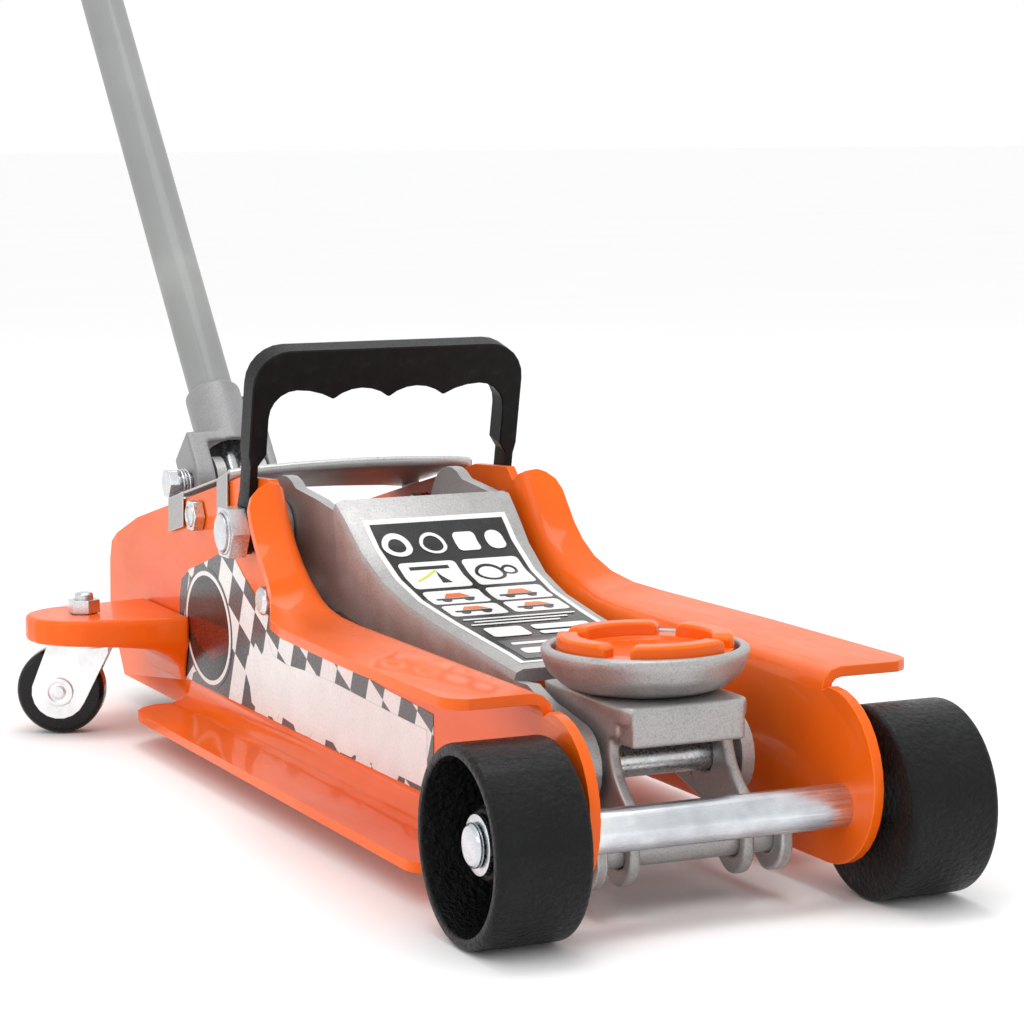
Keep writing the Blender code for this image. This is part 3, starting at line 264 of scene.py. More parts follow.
MATERIALS = {
    "orange_enamel": enamel("orange_enamel_gloss", ORANGE, ORANGE_WORN_AND_SHEEN, coat=0.32),
    "silver_enamel": cast_paint("silver_enamel_cast", (0.27, 0.265, 0.265), SILVER, rough=0.40, metal=0.55),
    "grey_tube_enamel": enamel("grey_tube_enamel_gloss", (0.27, 0.28, 0.275), (0.33, 0.34, 0.33),
                               coat=0.25, rough=0.38, peel=0.16),
    "zinc_plate": plated("zinc_plate_bright", ZINC),
    "black_cast_iron": dark_coat("black_cast_iron_paint", (0.0035, 0.0037, 0.004), rough=0.34, scale=520.0,
                                 grit=0.85, coat=0.10, pits=0.35, depth=0.0012),
    "ground_steel": plated("ground_steel_bare", (0.50, 0.51, 0.52), rough=0.22, stretch=(1.0, 0.05, 1.0),
                           tint=(0.45, 0.46, 0.48)),
    "black_plastic": dark_coat("black_plastic_grained", (0.0055, 0.0057, 0.006), rough=0.44, scale=1500.0,
                               grit=0.30, depth=0.0003),
    "black_rubber": dark_coat("black_rubber_matt", (0.008, 0.008, 0.0085), rough=0.60, scale=900.0,
                              grit=0.28, depth=0.0003),
    "seal_rubber": dark_coat("seal_rubber_smooth", (0.018, 0.016, 0.014), rough=0.45, scale=1200.0,
                             grit=0.15, depth=0.0002),
}
# Lighter copies of the orange and silver paints for the bevelled edges and the cover lip: partly edge wear,
# partly painted highlight.
EDGE_WEAR_AND_SHEEN = {
    "orange_enamel": enamel("orange_enamel_edge_wear_and_sheen", ORANGE_WORN_AND_SHEEN, ORANGE_RUBBED_AND_SHEEN, coat=0.16, rough=0.26),
    "silver_enamel": cast_paint("silver_enamel_edge_wear_and_sheen", (0.40, 0.40, 0.40), (0.56, 0.56, 0.55),
                                rough=0.32, metal=0.45, grit=0.2),
}
TYRE = dark_coat("caster_tyre_gloss", (0.0035, 0.0035, 0.0038), rough=0.24, scale=900.0, grit=0.10, coat=0.3,
                 depth=0.0002)
FORK_ZINC = plated("zinc_plate_white", (0.88, 0.90, 0.91), rough=0.34, tint=(0.93, 0.94, 0.94))
SOCKET_PAINT = cast_paint("silver_enamel_socket", (0.20, 0.20, 0.205), (0.27, 0.27, 0.275), metal=0.2, grit=0.3)
AXLE_ZINC = plated("zinc_plate_drawn", (0.64, 0.67, 0.71), rough=0.26, stretch=(0.02, 1.0, 1.0),
                   tint=(0.78, 0.80, 0.81))

INK_GRAIN = 700.0
INKS = {
    "white": ((0.80, 0.80, 0.79), 0.30, 0.04),
    "black": ((0.014, 0.014, 0.015), 0.28, 0.05),
    "grey": ((0.085, 0.088, 0.092), 0.30, 0.05),
    "dark_red": ((0.12, 0.012, 0.008), 0.28, 0.05),
    "orange": ((0.75, 0.16, 0.03), 0.30, 0.05),
    "lime": ((0.62, 0.66, 0.10), 0.30, 0.05),
}
FILM = {ink: dark_coat("decal_" + ink, colour, rough, INK_GRAIN, grit, coat=0.3)
        for ink, (colour, rough, grit) in INKS.items()}


# ---------------------------------------------------------------- meshes

def slot_names():
    """Each node's material slot, from the record."""
    found = {}
    for row in frame["record"]["materials"]:
        for node in row.get("nodes", []):
            found[node] = row["slot"]
    for node, made in NODES.items():
        name = made.data.materials[0].name if made.data.materials else ""
        found.setdefault(node, name if name in MATERIALS else "silver_enamel")
    return found


SLOT_OF = slot_names()
TURNED = set()


def finish_object(name, bm, body, materials, smooth_deg=33.0):
    """The bmesh as a piece that rides on a body, smooth up to an angle."""
    limit = math.radians(smooth_deg)
    for face in bm.faces:
        face.smooth = True
    for edge in bm.edges:
        edge.smooth = len(edge.link_faces) == 2 and edge.calc_face_angle(0.0) < limit
    mesh = bpy.data.meshes.new(name)
    bm.to_mesh(mesh)
    bm.free()
    for each in materials:
        mesh.materials.append(each)
    made = bpy.data.objects.new(name, mesh)
    bpy.context.scene.collection.objects.link(made)
    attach(made, body)
    return made


def round_edges(made, width, steps, miter="MITER_SHARP"):
    """Bevel the sharp edges, with the object's second material on the bevels; where that is a lighter edge
    paint, it is partly edge wear and partly painted highlight.
    """
    rounding = made.modifiers.new("rounding", "BEVEL")
    rounding.width = width * MM
    rounding.segments = steps
    rounding.limit_method = "ANGLE"
    rounding.angle_limit = math.radians(34.0)
    rounding.harden_normals = True
    rounding.use_clamp_overlap = True
    rounding.miter_outer = miter
    rounding.material = 1


def thicken(made, thick):
    """Give a flat film its thickness, half to each side."""
    skin = made.modifiers.new("film", "SOLIDIFY")
    skin.thickness = thick * MM
    skin.offset = 0.0


def welded(node):
    """The node's solid with its corners joined and its flat triangles merged."""
    bm = bmesh.new()
    bm.from_mesh(NODES[node].data)
    bmesh.ops.remove_doubles(bm, verts=bm.verts, dist=2e-6)
    bmesh.ops.dissolve_limit(bm, angle_limit=math.radians(0.6), verts=bm.verts, edges=bm.edges,
                             delimit={"NORMAL"})
    return bm


def refined(node, radius, steps, material=None):
    """A CAD node with its sharp edges rounded and its round faces smooth."""
    slot = SLOT_OF[node]
    main = material or MATERIALS[slot]
    # second material: the lighter edge paint where the slot has one, partly wear and partly painted highlight
    made = finish_object(node + "_finish", welded(node), NODES[node]["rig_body"],
                         [main, EDGE_WEAR_AND_SHEEN.get(slot, main)])
    round_edges(made, radius, steps, "MITER_ARC")
    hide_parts(node)


def cast(node, voxel, rounds, material=None):
    """A CAD node as a casting or deep pressing: one soft skin with every corner run out."""
    slot = SLOT_OF[node]
    made = finish_object(node + "_cast", welded(node), NODES[node]["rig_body"],
                         [material or MATERIALS[slot]])
    skin = made.modifiers.new("skin", "REMESH")
    skin.mode = "VOXEL"
    skin.voxel_size = voxel * MM
    skin.use_smooth_shade = True
    soft = made.modifiers.new("soft", "SMOOTH")
    soft.factor = 0.5
    soft.iterations = rounds
    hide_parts(node)


def fillet(profile, radius, count=4, closed=True):
    """The profile with its corners turned into short curves."""
    out = []
    last = len(profile) - 1
    for k, corner in enumerate(profile):
        here = Vector(corner)
        if not closed and k in (0, last):
            out.append(corner)
            continue
        before, after = Vector(profile[k - 1]) - here, Vector(profile[(k + 1) % len(profile)]) - here
        if before.angle(after, math.pi) > math.radians(165):
            out.append(corner)
            continue
        start = here + before.normalized() * min(radius, before.length * 0.45)
        end = here + after.normalized() * min(radius, after.length * 0.45)
        for step in range(count + 1):
            t = step / count
            out.append(tuple(start * (1 - t) ** 2 + here * 2 * t * (1 - t) + end * t ** 2))
    return out


def turned_ring(bm, place, radius, high, steps):
    """A ring of corners about Z, or a single corner where it meets the axis."""
    if radius < 0.01:
        return [bm.verts.new(place @ Vector((0.0, 0.0, high * MM)))]
    ring = []
    for k in range(steps):
        angle = math.tau * k / steps
        corner = Vector((radius * math.cos(angle) * MM, radius * math.sin(angle) * MM, high * MM))
        ring.append(bm.verts.new(place @ corner))
    return ring


def join_rings(bm, a, b, steps):
    """Faces between two neighbouring rings, either of which may be a single corner."""
    if len(a) == 1 and len(b) == 1:
        return
    for k in range(steps):
        n = (k + 1) % steps
        if len(a) == 1:
            bm.faces.new((a[0], b[n], b[k]))
        elif len(b) == 1:
            bm.faces.new((a[k], a[n], b[0]))
        else:
            bm.faces.new((a[k], a[n], b[n], b[k]))


def lathe(name, profile, middle, turn, node, steps=96, material=None, radius=0.8, closed=True, extra=False):
    """A profile of (radius, height) turned about its own Z, in place of a CAD node or, if extra, beside it."""
    bm = bmesh.new()
    place = Matrix.Translation(middle) @ turn.to_matrix().to_4x4()
    rings = [turned_ring(bm, place, r, h, steps) for r, h in fillet(profile, radius, closed=closed)]
    pairs = list(zip(rings, rings[1:])) + ([(rings[-1], rings[0])] if closed else [])
    for a, b in pairs:
        join_rings(bm, a, b, steps)
    bmesh.ops.recalc_face_normals(bm, faces=bm.faces)
    slot = SLOT_OF[node]
    made = finish_object(name, bm, NODES[node]["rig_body"], [material or MATERIALS[slot]], 40.0)
    if not extra:
        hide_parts(node)
        TURNED.add(node)


def side_turn(side):
    """Turns a profile's Z to point out of the jack's side."""
    return Euler((0.0, side * math.pi / 2.0, 0.0))


# ---------------------------------------------------------------- round pieces

def build_wheel(label, side):
    """A front wheel with its dished outer face, its washer and the lifting arm's bushing."""
    turn = side_turn(side)
    hub = at(0.0, 0.0, WHEEL_R)
    wheel = [(30.6, WHEEL_OUT), (33.6, WHEEL_OUT), (WHEEL_R, 94.9), (WHEEL_R, 62.4), (33.6, WHEEL_IN),
             (8.1, WHEEL_IN), (8.1, 86.3), (12.0, 86.3), (13.5, 84.5), (15.0, 68.5), (27.0, 67.0), (29.6, 70.0)]
    node = "front_wheel_" + label
    lathe(node + "_casting", wheel, hub, turn, node, 128, radius=1.1)
    washer = [(10.6, 88.6), (10.6, 86.9), (6.8, 86.9), (6.8, 88.6)]
    node = "front_washer_" + label
    lathe(node + "_disc", washer, hub, turn, node, 64, radius=0.35)
    bushing = [(13.0, 52.5), (13.0, 49.5), (15.5, 49.0), (15.5, 45.0), (12.5, 44.5), (12.5, 41.4),
               (8.3, 41.4), (8.3, 52.5)]
    node = "pivot_bushing_" + label
    lathe(node + "_turned", bushing, at(0.0, *PIVOT), turn, node, 64, radius=0.5)


def build_axle():
    """The front axle with a groove and a domed end outside each wheel."""
    end = [(0.0, 91.4), (6.6, 91.4), (7.8, 90.4), (7.8, 89.2), (6.4, 88.9), (6.4, 86.6), (7.8, 86.6)]
    axle = end + [(r, -h) for r, h in reversed(end)]
    lathe("front_axle_bar", axle, at(0.0, 0.0, WHEEL_R), side_turn(1), "front_axle", 64, AXLE_ZINC, 0.3,
          closed=False)


def build_cup():
    """The saddle cup on its stem, dished to hold the pad."""
    cup = [(0.0, 79.0), (31.0, 79.0), (33.0, 82.0), (34.0, 89.8), (37.7, 89.2), (37.7, 86.0), (35.5, 80.5),
           (30.0, 75.6), (24.5, 73.7), (8.0, 73.7), (8.0, 62.5), (0.0, 62.5)]
    lathe("saddle_cup_casting", cup, at(0.0, SADDLE_Y, 0.0), Euler(), "saddle_cup", 128, radius=1.6,
          closed=False)


def build_handle():
    """The handle's tube and its ribbed grip."""
    base = at(0.0, *HANDLE_ROOT)
    tilt = Euler((math.radians(HANDLE_RISE - 90.0), 0.0, 0.0))
    tube_end = HANDLE_END - 4.0
    tube = [(11.0, tube_end), (11.0, 20.0), (9.4, 20.0), (9.4, tube_end)]
    lathe("handle_tube_drawn", tube, base, tilt, "handle_tube", 64, radius=0.3)
    grip = [(0.0, HANDLE_END), (12.5, HANDLE_END), (15.5, 647.0), (15.5, 641.0), (13.6, 638.0)]
    for k in range(11):
        rib = 631.0 - 8.0 * k
        grip += [(13.6, rib), (14.6, rib - 1.2), (14.6, rib - 3.0), (13.6, rib - 4.2)]
    grip += [(13.6, 537.0), (15.5, 534.0), (15.5, 526.5), (14.5, 525.0), (11.3, 525.0), (11.3, 646.3),
             (0.0, 646.3)]
    lathe("handle_grip_moulding", grip, base, tilt, "handle_grip", 72, radius=0.7, closed=False)


def build_caster(label, side):
    """A caster's tyre and the rivet it turns on, both on the heading that the photo shows."""
    heading = math.pi / 2.0 + side * math.radians(90.0 - CASTER_TURN)
    out, back = CASTER_STEM
    hub = at(side * out - math.cos(heading) * CASTER_TRAIL, back - math.sin(heading) * CASTER_TRAIL, CASTER_R)
    tilt = Euler((math.pi / 2.0, 0.0, heading))
    tyre = [(18.4, 7.4), (CASTER_R, 5.2), (CASTER_R, -5.2), (18.4, -7.4), (3.3, -7.4), (3.3, 7.4)]
    node = "caster_wheel_" + label
    lathe(node + "_tyre", tyre, hub, tilt, node, 96, TYRE, 1.3)
    dish = [(6.8, 10.5), (6.4, 11.4), (5.0, 11.5), (4.2, 10.9), (3.2, 11.0), (2.6, 12.0), (0.0, 12.3)]
    rivet = dish + [(r, -h) for r, h in reversed(dish)]
    node = "caster_axle_" + label
    lathe(node + "_rivet", rivet, hub, tilt, node, 48, FORK_ZINC, 0.4)


def build_studs(label, side):
    """The king bolt's stud end and the raised rings on the pivot nut and the cover bolt."""
    out, back = CASTER_STEM
    stud = [(0.0, 64.6), (3.4, 64.6), (4.3, 63.6), (4.3, 61.2), (0.0, 61.2)]
    lathe("king_stud_" + label, stud, at(side * out, back, 0.0), Euler(), "king_bolt_" + label, 32,
          radius=0.3, closed=False, extra=True)
    for tag, kind, place, face, r in (("pivot", "nut", PIVOT, 69.2, 9.6),
                                      ("cover", "bolt", COVER_BOLT, 62.0, 5.2)):
        collar = [(r, face), (r, face + 0.5), (r - 0.8, face + 0.9), (r - 1.2, face + 0.2), (r - 1.2, face)]
        lathe(f"{tag}_collar_{label}", collar, at(0.0, *place), side_turn(side), f"{tag}_{kind}_{label}", 48,
              radius=0.15, extra=True)


def build_crown_segment(bm, start, end, count=14):
    """A closed block of the pad's crown between two angles, its top edge leaning in."""
    inner, outer = 23.4, 32.2
    rows = []
    for step in range(count + 1):
        a = math.radians(start + (end - start) * step / count)
        top = CROWN_TOP - (1.1 if step in (0, count) else 0.0)
        ring = [(inner, CROWN_LOW), (inner + 0.8, top), (outer - 0.4, top), (outer, CROWN_LOW)]
        rows.append([bm.verts.new(at(r * math.cos(a), SADDLE_Y + r * math.sin(a), h)) for r, h in ring])
    for near, far in zip(rows, rows[1:]):
        for k in range(4):
            bm.faces.new((near[k], near[(k + 1) % 4], far[(k + 1) % 4], far[k]))
    bm.faces.new(rows[0])
    bm.faces.new(list(reversed(rows[-1])))


def build_pad():
    """The saddle's insert: a dished disc with four raised crown segments."""
    base = [(0.0, 87.0), (21.6, 87.0), (23.4, 88.9), (31.9, 88.9), (32.2, 88.0), (32.2, 82.6), (30.6, 79.4),
            (0.0, 79.4)]
    lathe("saddle_pad_disc", base, at(0.0, SADDLE_Y, 0.0), Euler(), "saddle_pad", 96, radius=0.9, closed=False)
    bm = bmesh.new()
    half = 45.0 - 8.4
    for quarter in range(4):
        build_crown_segment(bm, quarter * 90.0 - half, quarter * 90.0 + half)
    bmesh.ops.recalc_face_normals(bm, faces=bm.faces)
    # the crown's bevels take the lighter orange edge paint: partly wear, partly painted highlight
    crown = finish_object("saddle_pad_crown", bm, "saddle",
                          [MATERIALS["orange_enamel"], EDGE_WEAR_AND_SHEEN["orange_enamel"]])
    round_edges(crown, 1.3, 3)


def build_cover_lip():
    """The rolled front edge of the cover, a bar that follows its crown, all in the lighter silver edge paint:
    partly edge wear, partly painted highlight.
    """
    radius, count = 2.3, 14
    crown = ((-57.0, 0.6), (-48.0, 1.6), (-24.0, 2.6), (0.0, 3.0), (24.0, 2.6), (48.0, 1.6), (57.0, 0.6))
    bm = bmesh.new()
    rings = []
    for x, rise in crown:
        middle = at(x, COVER_FRONT, COVER_TOP + rise)
        ring = []
        for k in range(count):
            angle = math.tau * k / count
            ring.append(bm.verts.new(middle + Vector((0.0, math.cos(angle), math.sin(angle))) * radius * MM))
        rings.append(ring)
    for near, far in zip(rings, rings[1:]):
        join_rings(bm, near, far, count)
    bm.faces.new(rings[0])
    bm.faces.new(rings[-1])
    bmesh.ops.recalc_face_normals(bm, faces=bm.faces)
    # the whole lip takes the lighter edge paint, partly painted highlight
    finish_object("cover_plate_lip", bm, "frame", [EDGE_WEAR_AND_SHEEN["silver_enamel"]], 50.0)


# ---------------------------------------------------------------- printed films

FILM_THICK = 0.14


def cut(bm, through, normal, reach):
    """Cut every face along a plane."""
    bmesh.ops.bisect_plane(bm, geom=bm.verts[:] + bm.edges[:] + bm.faces[:], plane_co=through,
                           plane_no=normal, dist=reach)


def film(name, outlines, lay, body, ink, slices=()):
    """Thin printed film: flat outlines, cut across at the slices, laid on a surface."""
    bm = bmesh.new()
    for outline in outlines:
        bm.faces.new([bm.verts.new((u, v, 0.0)) for u, v in outline])
    for v in slices:
        cut(bm, (0.0, v, 0.0), (0.0, 1.0, 0.0), 1e-5)
    bmesh.ops.triangulate(bm, faces=bm.faces[:])
    for vert in bm.verts:
        vert.co = lay(vert.co.x, vert.co.y)
    bmesh.ops.recalc_face_normals(bm, faces=bm.faces)
    thicken(finish_object(name, bm, body, [FILM[ink]]), FILM_THICK)


def rounded(low, high, radius, count=4):
    """A rectangle with round corners, counter-clockwise."""
    (u0, v0), (u1, v1) = low, high
    out = []
    for cu, cv, start in ((u1 - radius, v0 + radius, -90), (u1 - radius, v1 - radius, 0),
                          (u0 + radius, v1 - radius, 90), (u0 + radius, v0 + radius, 180)):
        for step in range(count + 1):
            a = math.radians(start + 90.0 * step / count)
            out.append((cu + radius * math.cos(a), cv + radius * math.sin(a)))
    return out


def ellipse(middle, ru, rv, count=40):
    turns = [math.tau * k / count for k in range(count)]
    return [(middle[0] + ru * math.cos(a), middle[1] + rv * math.sin(a)) for a in turns]


def ring_of(middle, radius, width, count):
    """A flat ring as four-cornered pieces."""
    outer = ellipse(middle, radius, radius, count)
    inner = ellipse(middle, radius - width, radius - width, count)
    return [[outer[k], outer[(k + 1) % count], inner[(k + 1) % count], inner[k]] for k in range(count)]


LABEL_LOW, LABEL_HIGH = 99.0, 245.0
LABEL_ROWS = ((200.0, 221.0), (182.0, 197.0), (165.0, 179.5))
LABEL_SLICES = [94.0 + 3.0 * k for k in range(54)]


def arm_layers():
    """Laying functions for the films on the arm, each numbered layer a little above the one before."""
    source = NODES["lift_arm"].data
    tree = BVHTree.FromPolygons([v.co for v in source.vertices], [tuple(p.vertices) for p in source.polygons])
    heights = {}

    def top(y):
        key = round(y, 2)
        if key not in heights:
            hit = tree.ray_cast(at(0.0, y, 180.0), Vector((0.0, 0.0, -1.0)))[0]
            heights[key] = hit.z / MM
        return heights[key]

    return [lambda x, y, lift=0.15 + 0.17 * k: at(x, y, top(y) + lift) for k in range(4)]


def label_half(y):
    """Half the label's width, which grows towards the pivot as the arm does."""
    return 27.2 + 5.0 * min(max((y - 110.0) / 130.0, 0.0), 1.0)


def label_panel(inset, first, last):
    """The label's outline between two places along the arm, drawn in from its edges."""
    rows = [LABEL_LOW + (LABEL_HIGH - LABEL_LOW) * k / 24.0 for k in range(25)]
    ys = [first] + [y for y in rows if first < y < last] + [last]
    return [(label_half(y) - inset, y) for y in ys] + [(-label_half(y) + inset, y) for y in reversed(ys)]


def lamp_picture(u0, u1, last, cu, cv):
    """A bar, a leaning wedge and a lime beam beside it."""
    dark = [[(u0 + 4, last - 5), (u1 - 4, last - 5), (u1 - 4, last - 3), (u0 + 4, last - 3)],
            [(cu + 1, cv - 6), (cu + 5, cv - 6), (cu + 2, cv + 4)]]
    beam = [(u0 + 4, cv - 4), (cu + 2, cv + 4), (cu + 2, cv + 5.4), (u0 + 4, cv - 2.4)]
    return dark, beam


def car_picture(u0, u1, cu, cv):
    """A low body on two wheels, with a warm roof."""
    dark = [rounded((u0 + 3, cv - 2.2), (u1 - 5, cv - 0.4), 0.8), ellipse((u0 + 7, cv - 3), 2.0, 2.0, 16),
            ellipse((u1 - 8, cv - 3), 2.0, 2.0, 16)]
    roof = [(cu - 5, cv + 0.6), (cu + 6, cv + 0.6), (cu + 3, cv + 4.2), (cu - 3, cv + 4.2)]
    return dark, roof


def label_pictures():
    """The six white boxes and the plain shapes in them, as boxes, dark marks, roofs and beams."""
    boxes, marks, roofs, beams = [], [], [], []
    for row, (first, last) in enumerate(LABEL_ROWS):
        for side in (-1, 1):
            u0, u1 = sorted((side * 1.4, side * (label_half(first) - 4.0)))
            cu, cv = (u0 + u1) / 2.0, (first + last) / 2.0
            boxes.append(rounded((u0, first), (u1, last), 2.2))
            if row > 0:
                dark, roof = car_picture(u0, u1, cu, cv)
                marks += dark
                roofs.append(roof)
            elif side < 0:
                dark, beam = lamp_picture(u0, u1, last, cu, cv)
                marks += dark
                beams.append(beam)
            else:
                marks += ring_of((cu - 3.5, cv), 6.6, 1.5, 24) + ring_of((cu + 5.5, cv + 1.5), 3.6, 1.3, 18)
    return boxes, marks, roofs, beams


def label_bars():
    """Plain bars, plates and rings where the real label has its text and signs."""
    bars = [rounded((-24.0 + 3.0 * (k % 2), y), (24.0 - 5.0 * (k % 3), y + 1.6), 0.6)
            for k, y in enumerate((158.6, 154.6, 150.6))]
    bars += [rounded((-22.0, 133.0), (-6.0, 146.0), 2.0), rounded((-2.0, 139.6), (22.0, 146.0), 2.0),
             rounded((-2.0, 133.0), (22.0, 137.0), 1.4), rounded((-20.0, 121.0), (20.0, 124.0), 1.0),
             rounded((-20.0, 109.0), (20.0, 116.0), 2.0)]
    bars += ring_of((-22.0, 231.5), 6.4, 2.6, 28) + ring_of((-6.0, 231.5), 5.8, 1.5, 28)
    return bars + [rounded((4.0, 226.4), (14.0, 236.6), 2.0), rounded((18.0, 226.4), (26.0, 236.6), 3.6)]


def build_arm_label():
    """Printed panel on the arm: dark ground, pale border, six plain picture boxes and plain bars."""
    edge, ground, print_low, print_high = arm_layers()
    boxes, marks, roofs, beams = label_pictures()
    for name, outlines, lay, ink in (
            ("border", [label_panel(0.0, LABEL_LOW, LABEL_HIGH)], edge, "white"),
            ("ground", [label_panel(2.4, LABEL_LOW + 2.4, LABEL_HIGH - 2.4)], ground, "black"),
            ("foot", [label_panel(4.2, LABEL_LOW + 4.0, 128.0)], print_low, "grey"),
            ("boxes", boxes, print_low, "white"),
            ("marks", marks, print_high, "black"),
            ("warm_marks", roofs, print_high, "orange"),
            ("lime_mark", beams, print_high, "lime"),
            ("bars", label_bars(), print_high, "white")):
        film("arm_label_" + name, outlines, lay, "lift_arm", ink, LABEL_SLICES)


CHECK_SIZE, CHECK_TURN = 15.5, 24.0
DECAL_OUTLINE = [
    (404.0, 25.8), (411.0, 40.0), (412.0, 60.0), (408.0, 71.0), (396.0, 77.0), (372.0, 83.5), (345.0, 92.0),
    (334.0, 89.5), (322.0, 83.0), (306.0, 76.0), (280.0, 70.0), (250.0, 66.5), (205.0, 63.0), (160.0, 60.0),
    (112.0, 58.0), (112.0, 26.5), (200.0, 25.8)]
BADGE = (371.0, 53.5)
BADGE_LONG, BADGE_TALL = 31.0, 25.5
BANNER = [
    (318.0, 49.0), (322.0, 42.0), (316.0, 36.0), (314.0, 29.0), (304.0, 26.4), (282.0, 27.2), (280.0, 29.6),
    (262.0, 28.2), (260.0, 26.2), (243.0, 26.0), (241.0, 28.4), (214.0, 28.8), (212.0, 26.3), (196.0, 26.4),
    (193.0, 28.0), (170.0, 28.0), (168.0, 26.2), (148.0, 26.2), (146.0, 28.4), (118.0, 28.4), (118.0, 51.0),
    (150.0, 51.6), (182.0, 52.6), (214.0, 53.6), (246.0, 53.4), (270.0, 52.4), (286.0, 53.8), (292.0, 60.0),
    (300.0, 52.0), (308.0, 56.0), (312.0, 50.5)]


def plate_layer(side, lift):
    """Lays (y, z) on the outer face of a side plate."""
    return lambda y, z: at(side * (PLATE_FACE + lift), y, z)


def build_checks(label, side):
    """The checker band: the outline cut both ways and its cells coloured in turn."""
    bm = bmesh.new()
    face = bm.faces.new([bm.verts.new((u, v, 0.0)) for u, v in DECAL_OUTLINE])
    bmesh.ops.triangulate(bm, faces=[face])
    turn = math.radians(CHECK_TURN)
    across = Vector((math.cos(turn), math.sin(turn), 0.0))
    along = Vector((-math.sin(turn), math.cos(turn), 0.0))
    for direction in (across, along):
        for k in range(-6, 30):
            cut(bm, direction * (CHECK_SIZE * k), direction, 1e-4)
    for face in bm.faces:
        middle = face.calc_center_median()
        column = math.floor(middle.dot(across) / CHECK_SIZE)
        row = math.floor(middle.dot(along) / CHECK_SIZE)
        face.material_index = (column + row) % 2
    lay = plate_layer(side, FILM_THICK)
    for vert in bm.verts:
        vert.co = lay(vert.co.x, vert.co.y)
    bmesh.ops.recalc_face_normals(bm, faces=bm.faces)
    checks = finish_object(f"side_decal_checks_{label}", bm, "frame", [FILM["grey"], FILM["white"]])
    thicken(checks, FILM_THICK)


def build_side_decal(label, side):
    """Checker band along the plate, with a plain round badge and a blank torn banner."""
    build_checks(label, side)
    y, z = BADGE
    stripe = [(y + 27.6, z - 4.0), (y + 28.2, z + 3.0), (y - 28.0, z + 3.0), (y - 27.0, z - 7.0),
              (y - 4.0, z - 14.0)]
    for name, outline, lift, ink in (
            ("badge", ellipse(BADGE, BADGE_LONG + 1.6, BADGE_TALL + 1.6, 56), 0.31, "grey"),
            ("badge_ring", ellipse(BADGE, BADGE_LONG, BADGE_TALL, 56), 0.36, "white"),
            ("badge_face", ellipse(BADGE, BADGE_LONG - 2.4, BADGE_TALL - 2.0, 56), 0.41, "black"),
            ("badge_stripe", stripe, 0.46, "dark_red"),
            ("banner", BANNER, 0.31, "white")):
        film(f"side_decal_{name}_{label}", [outline], plate_layer(side, lift), "frame", ink)


# ---------------------------------------------------------------- floor, lights, camera

def build_floor():
    """A plain pale floor, a hair under the wheels."""
    pale = (0.975, 0.975, 0.975)
    made, nodes, links, surface = shader("studio_floor", Base_Color=(*pale, 1.0), Roughness=0.75,
                                         Specular_IOR_Level=0.2)
    cloud = noise(nodes, links, place_coords(nodes, links), 3.0, 3.0)
    links.new(ramp(nodes, links, cloud, (0.3, shade(pale, 0.985)), (0.7, pale)), surface.inputs["Base Color"])
    bm = bmesh.new()
    bmesh.ops.create_grid(bm, x_segments=8, y_segments=8, size=60.0)
    mesh = bpy.data.meshes.new("floor")
    bm.to_mesh(mesh)
    bm.free()
    mesh.materials.append(made)
    floor = bpy.data.objects.new("floor", mesh)
    bpy.context.scene.collection.objects.link(floor)
    floor.location.z = -0.0003


def area_light(name, place, size, power):
    """A soft rectangular lamp that faces the front half of the jack."""
    light = bpy.data.lights.new(name, "AREA")
    light.shape = "RECTANGLE"
    light.size, light.size_y = size
    light.energy = power
    made = bpy.data.objects.new(name, light)
    bpy.context.scene.collection.objects.link(made)
    made.location = place
    aim = Vector((0.0, -0.15, 0.08)) - Vector(place)
    made.rotation_euler = aim.to_track_quat("-Z", "Y").to_euler()


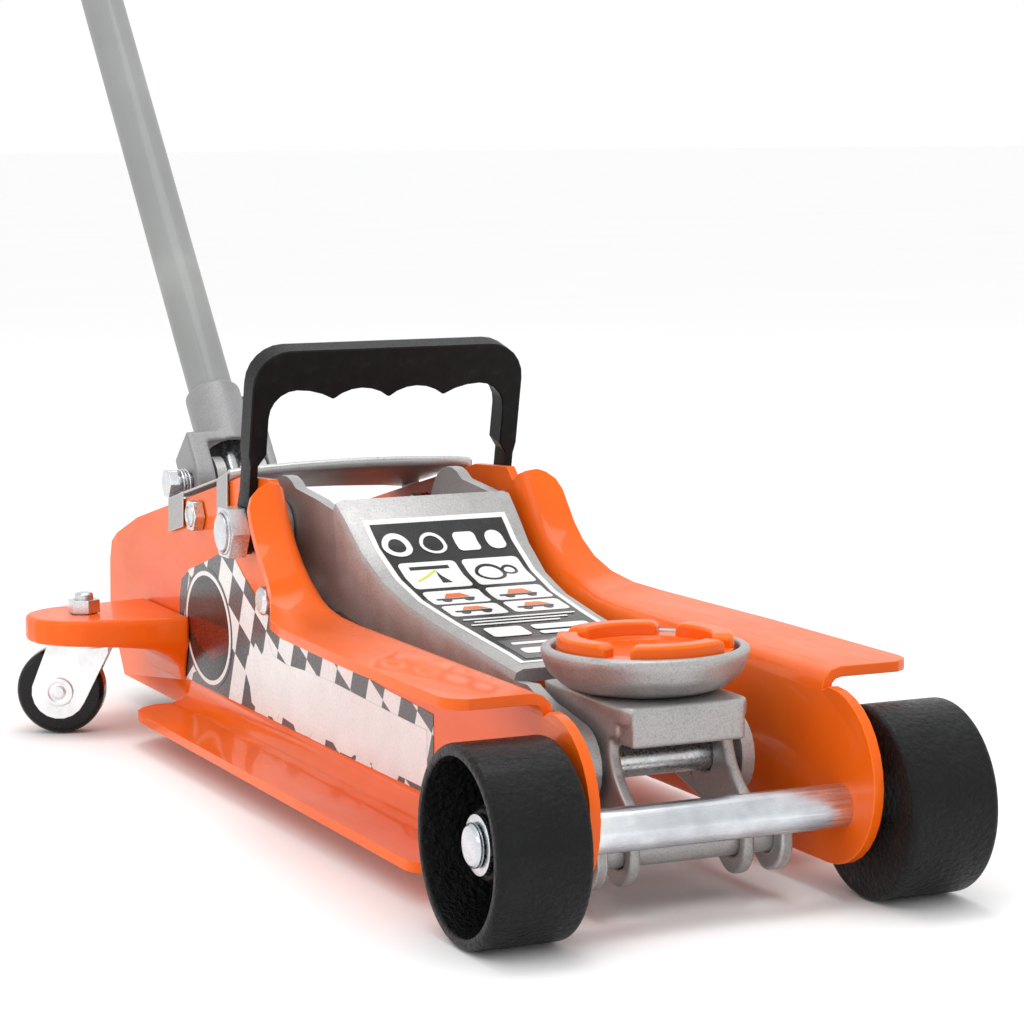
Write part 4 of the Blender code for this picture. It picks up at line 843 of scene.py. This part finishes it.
def build_lights():
    """A white surround and five weak soft lamps."""
    world = bpy.data.worlds.new("studio")
    world.use_nodes = True
    surround = world.node_tree.nodes["Background"]
    surround.inputs["Color"].default_value = (1.0, 1.0, 1.0, 1.0)
    surround.inputs["Strength"].default_value = 1.0
    bpy.context.scene.world = world
    area_light("key_top_left", (-1.1, -0.9, 1.7), (0.9, 0.9), 4.6)
    area_light("overhead", (0.05, -0.25, 1.5), (0.9, 0.5), 6.4)
    area_light("fill_right", (1.9, -1.2, 1.1), (0.7, 1.2), 1.0)
    area_light("rim_back", (0.5, 1.9, 1.6), (1.6, 0.7), 2.4)
    area_light("strip_left", (-1.5, -0.6, 0.5), (1.2, 0.14), 1.8)


def build_camera():
    """The photograph's viewpoint: a long lens in front and to the left, a little above the jack."""
    data = bpy.data.cameras.new("photo_camera")
    data.sensor_width = 36.0
    data.lens = CAMERA_LENS
    data.clip_start = 0.05
    data.clip_end = 60.0
    camera = bpy.data.objects.new("photo_camera", data)
    bpy.context.scene.collection.objects.link(camera)
    heading = Matrix.Rotation(math.radians(-CAMERA_HEADING), 4, "Z")
    pitch = Matrix.Rotation(math.radians(90.0 + CAMERA_PITCH), 4, "X")
    roll = Matrix.Rotation(math.radians(CAMERA_ROLL), 4, "Z")
    camera.matrix_world = Matrix.Translation(CAMERA_PLACE) @ heading @ pitch @ roll
    bpy.context.scene.camera = camera


# ---------------------------------------------------------------- the whole jack

ROUNDING = {
    "side_plate": 0.9, "lift_arm": 1.1, "carry_handle": 1.5, "pump_block": 1.0, "cover_plate": 0.5,
    "radius_rod": 1.2, "caster_fork": 0.5,
}
CAST_NODES = {
    "saddle_bracket": (0.8, 10, None),
    "handle_socket": (0.8, 6, SOCKET_PAINT),
    "caster_bracket_left": (0.9, 16, None),
    "caster_bracket_right": (0.9, 16, None),
}


def build_rest():
    """Every node that isn't turned or cast: the CAD solid with rounded edges."""
    for node in sorted(set(NODES) - TURNED - set(CAST_NODES)):
        radius = next((r for start, r in ROUNDING.items() if node.startswith(start)), 0.45)
        paint = FORK_ZINC if node.startswith("caster_fork") else None
        refined(node, radius, 3 if radius > 1.0 else 2, paint)


for each_label, each_side in SIDES.items():
    build_wheel(each_label, each_side)
build_axle()
build_cup()
build_handle()
for each_label, each_side in SIDES.items():
    build_caster(each_label, each_side)
    build_studs(each_label, each_side)
build_pad()
build_cover_lip()
for each_node, each_setting in CAST_NODES.items():
    cast(each_node, *each_setting)
build_rest()
build_arm_label()
for each_label, each_side in SIDES.items():
    build_side_decal(each_label, each_side)

build_floor()
build_lights()
build_camera()
bpy.context.scene.view_settings.view_transform = "Standard"
bpy.context.scene.view_settings.look = "None"
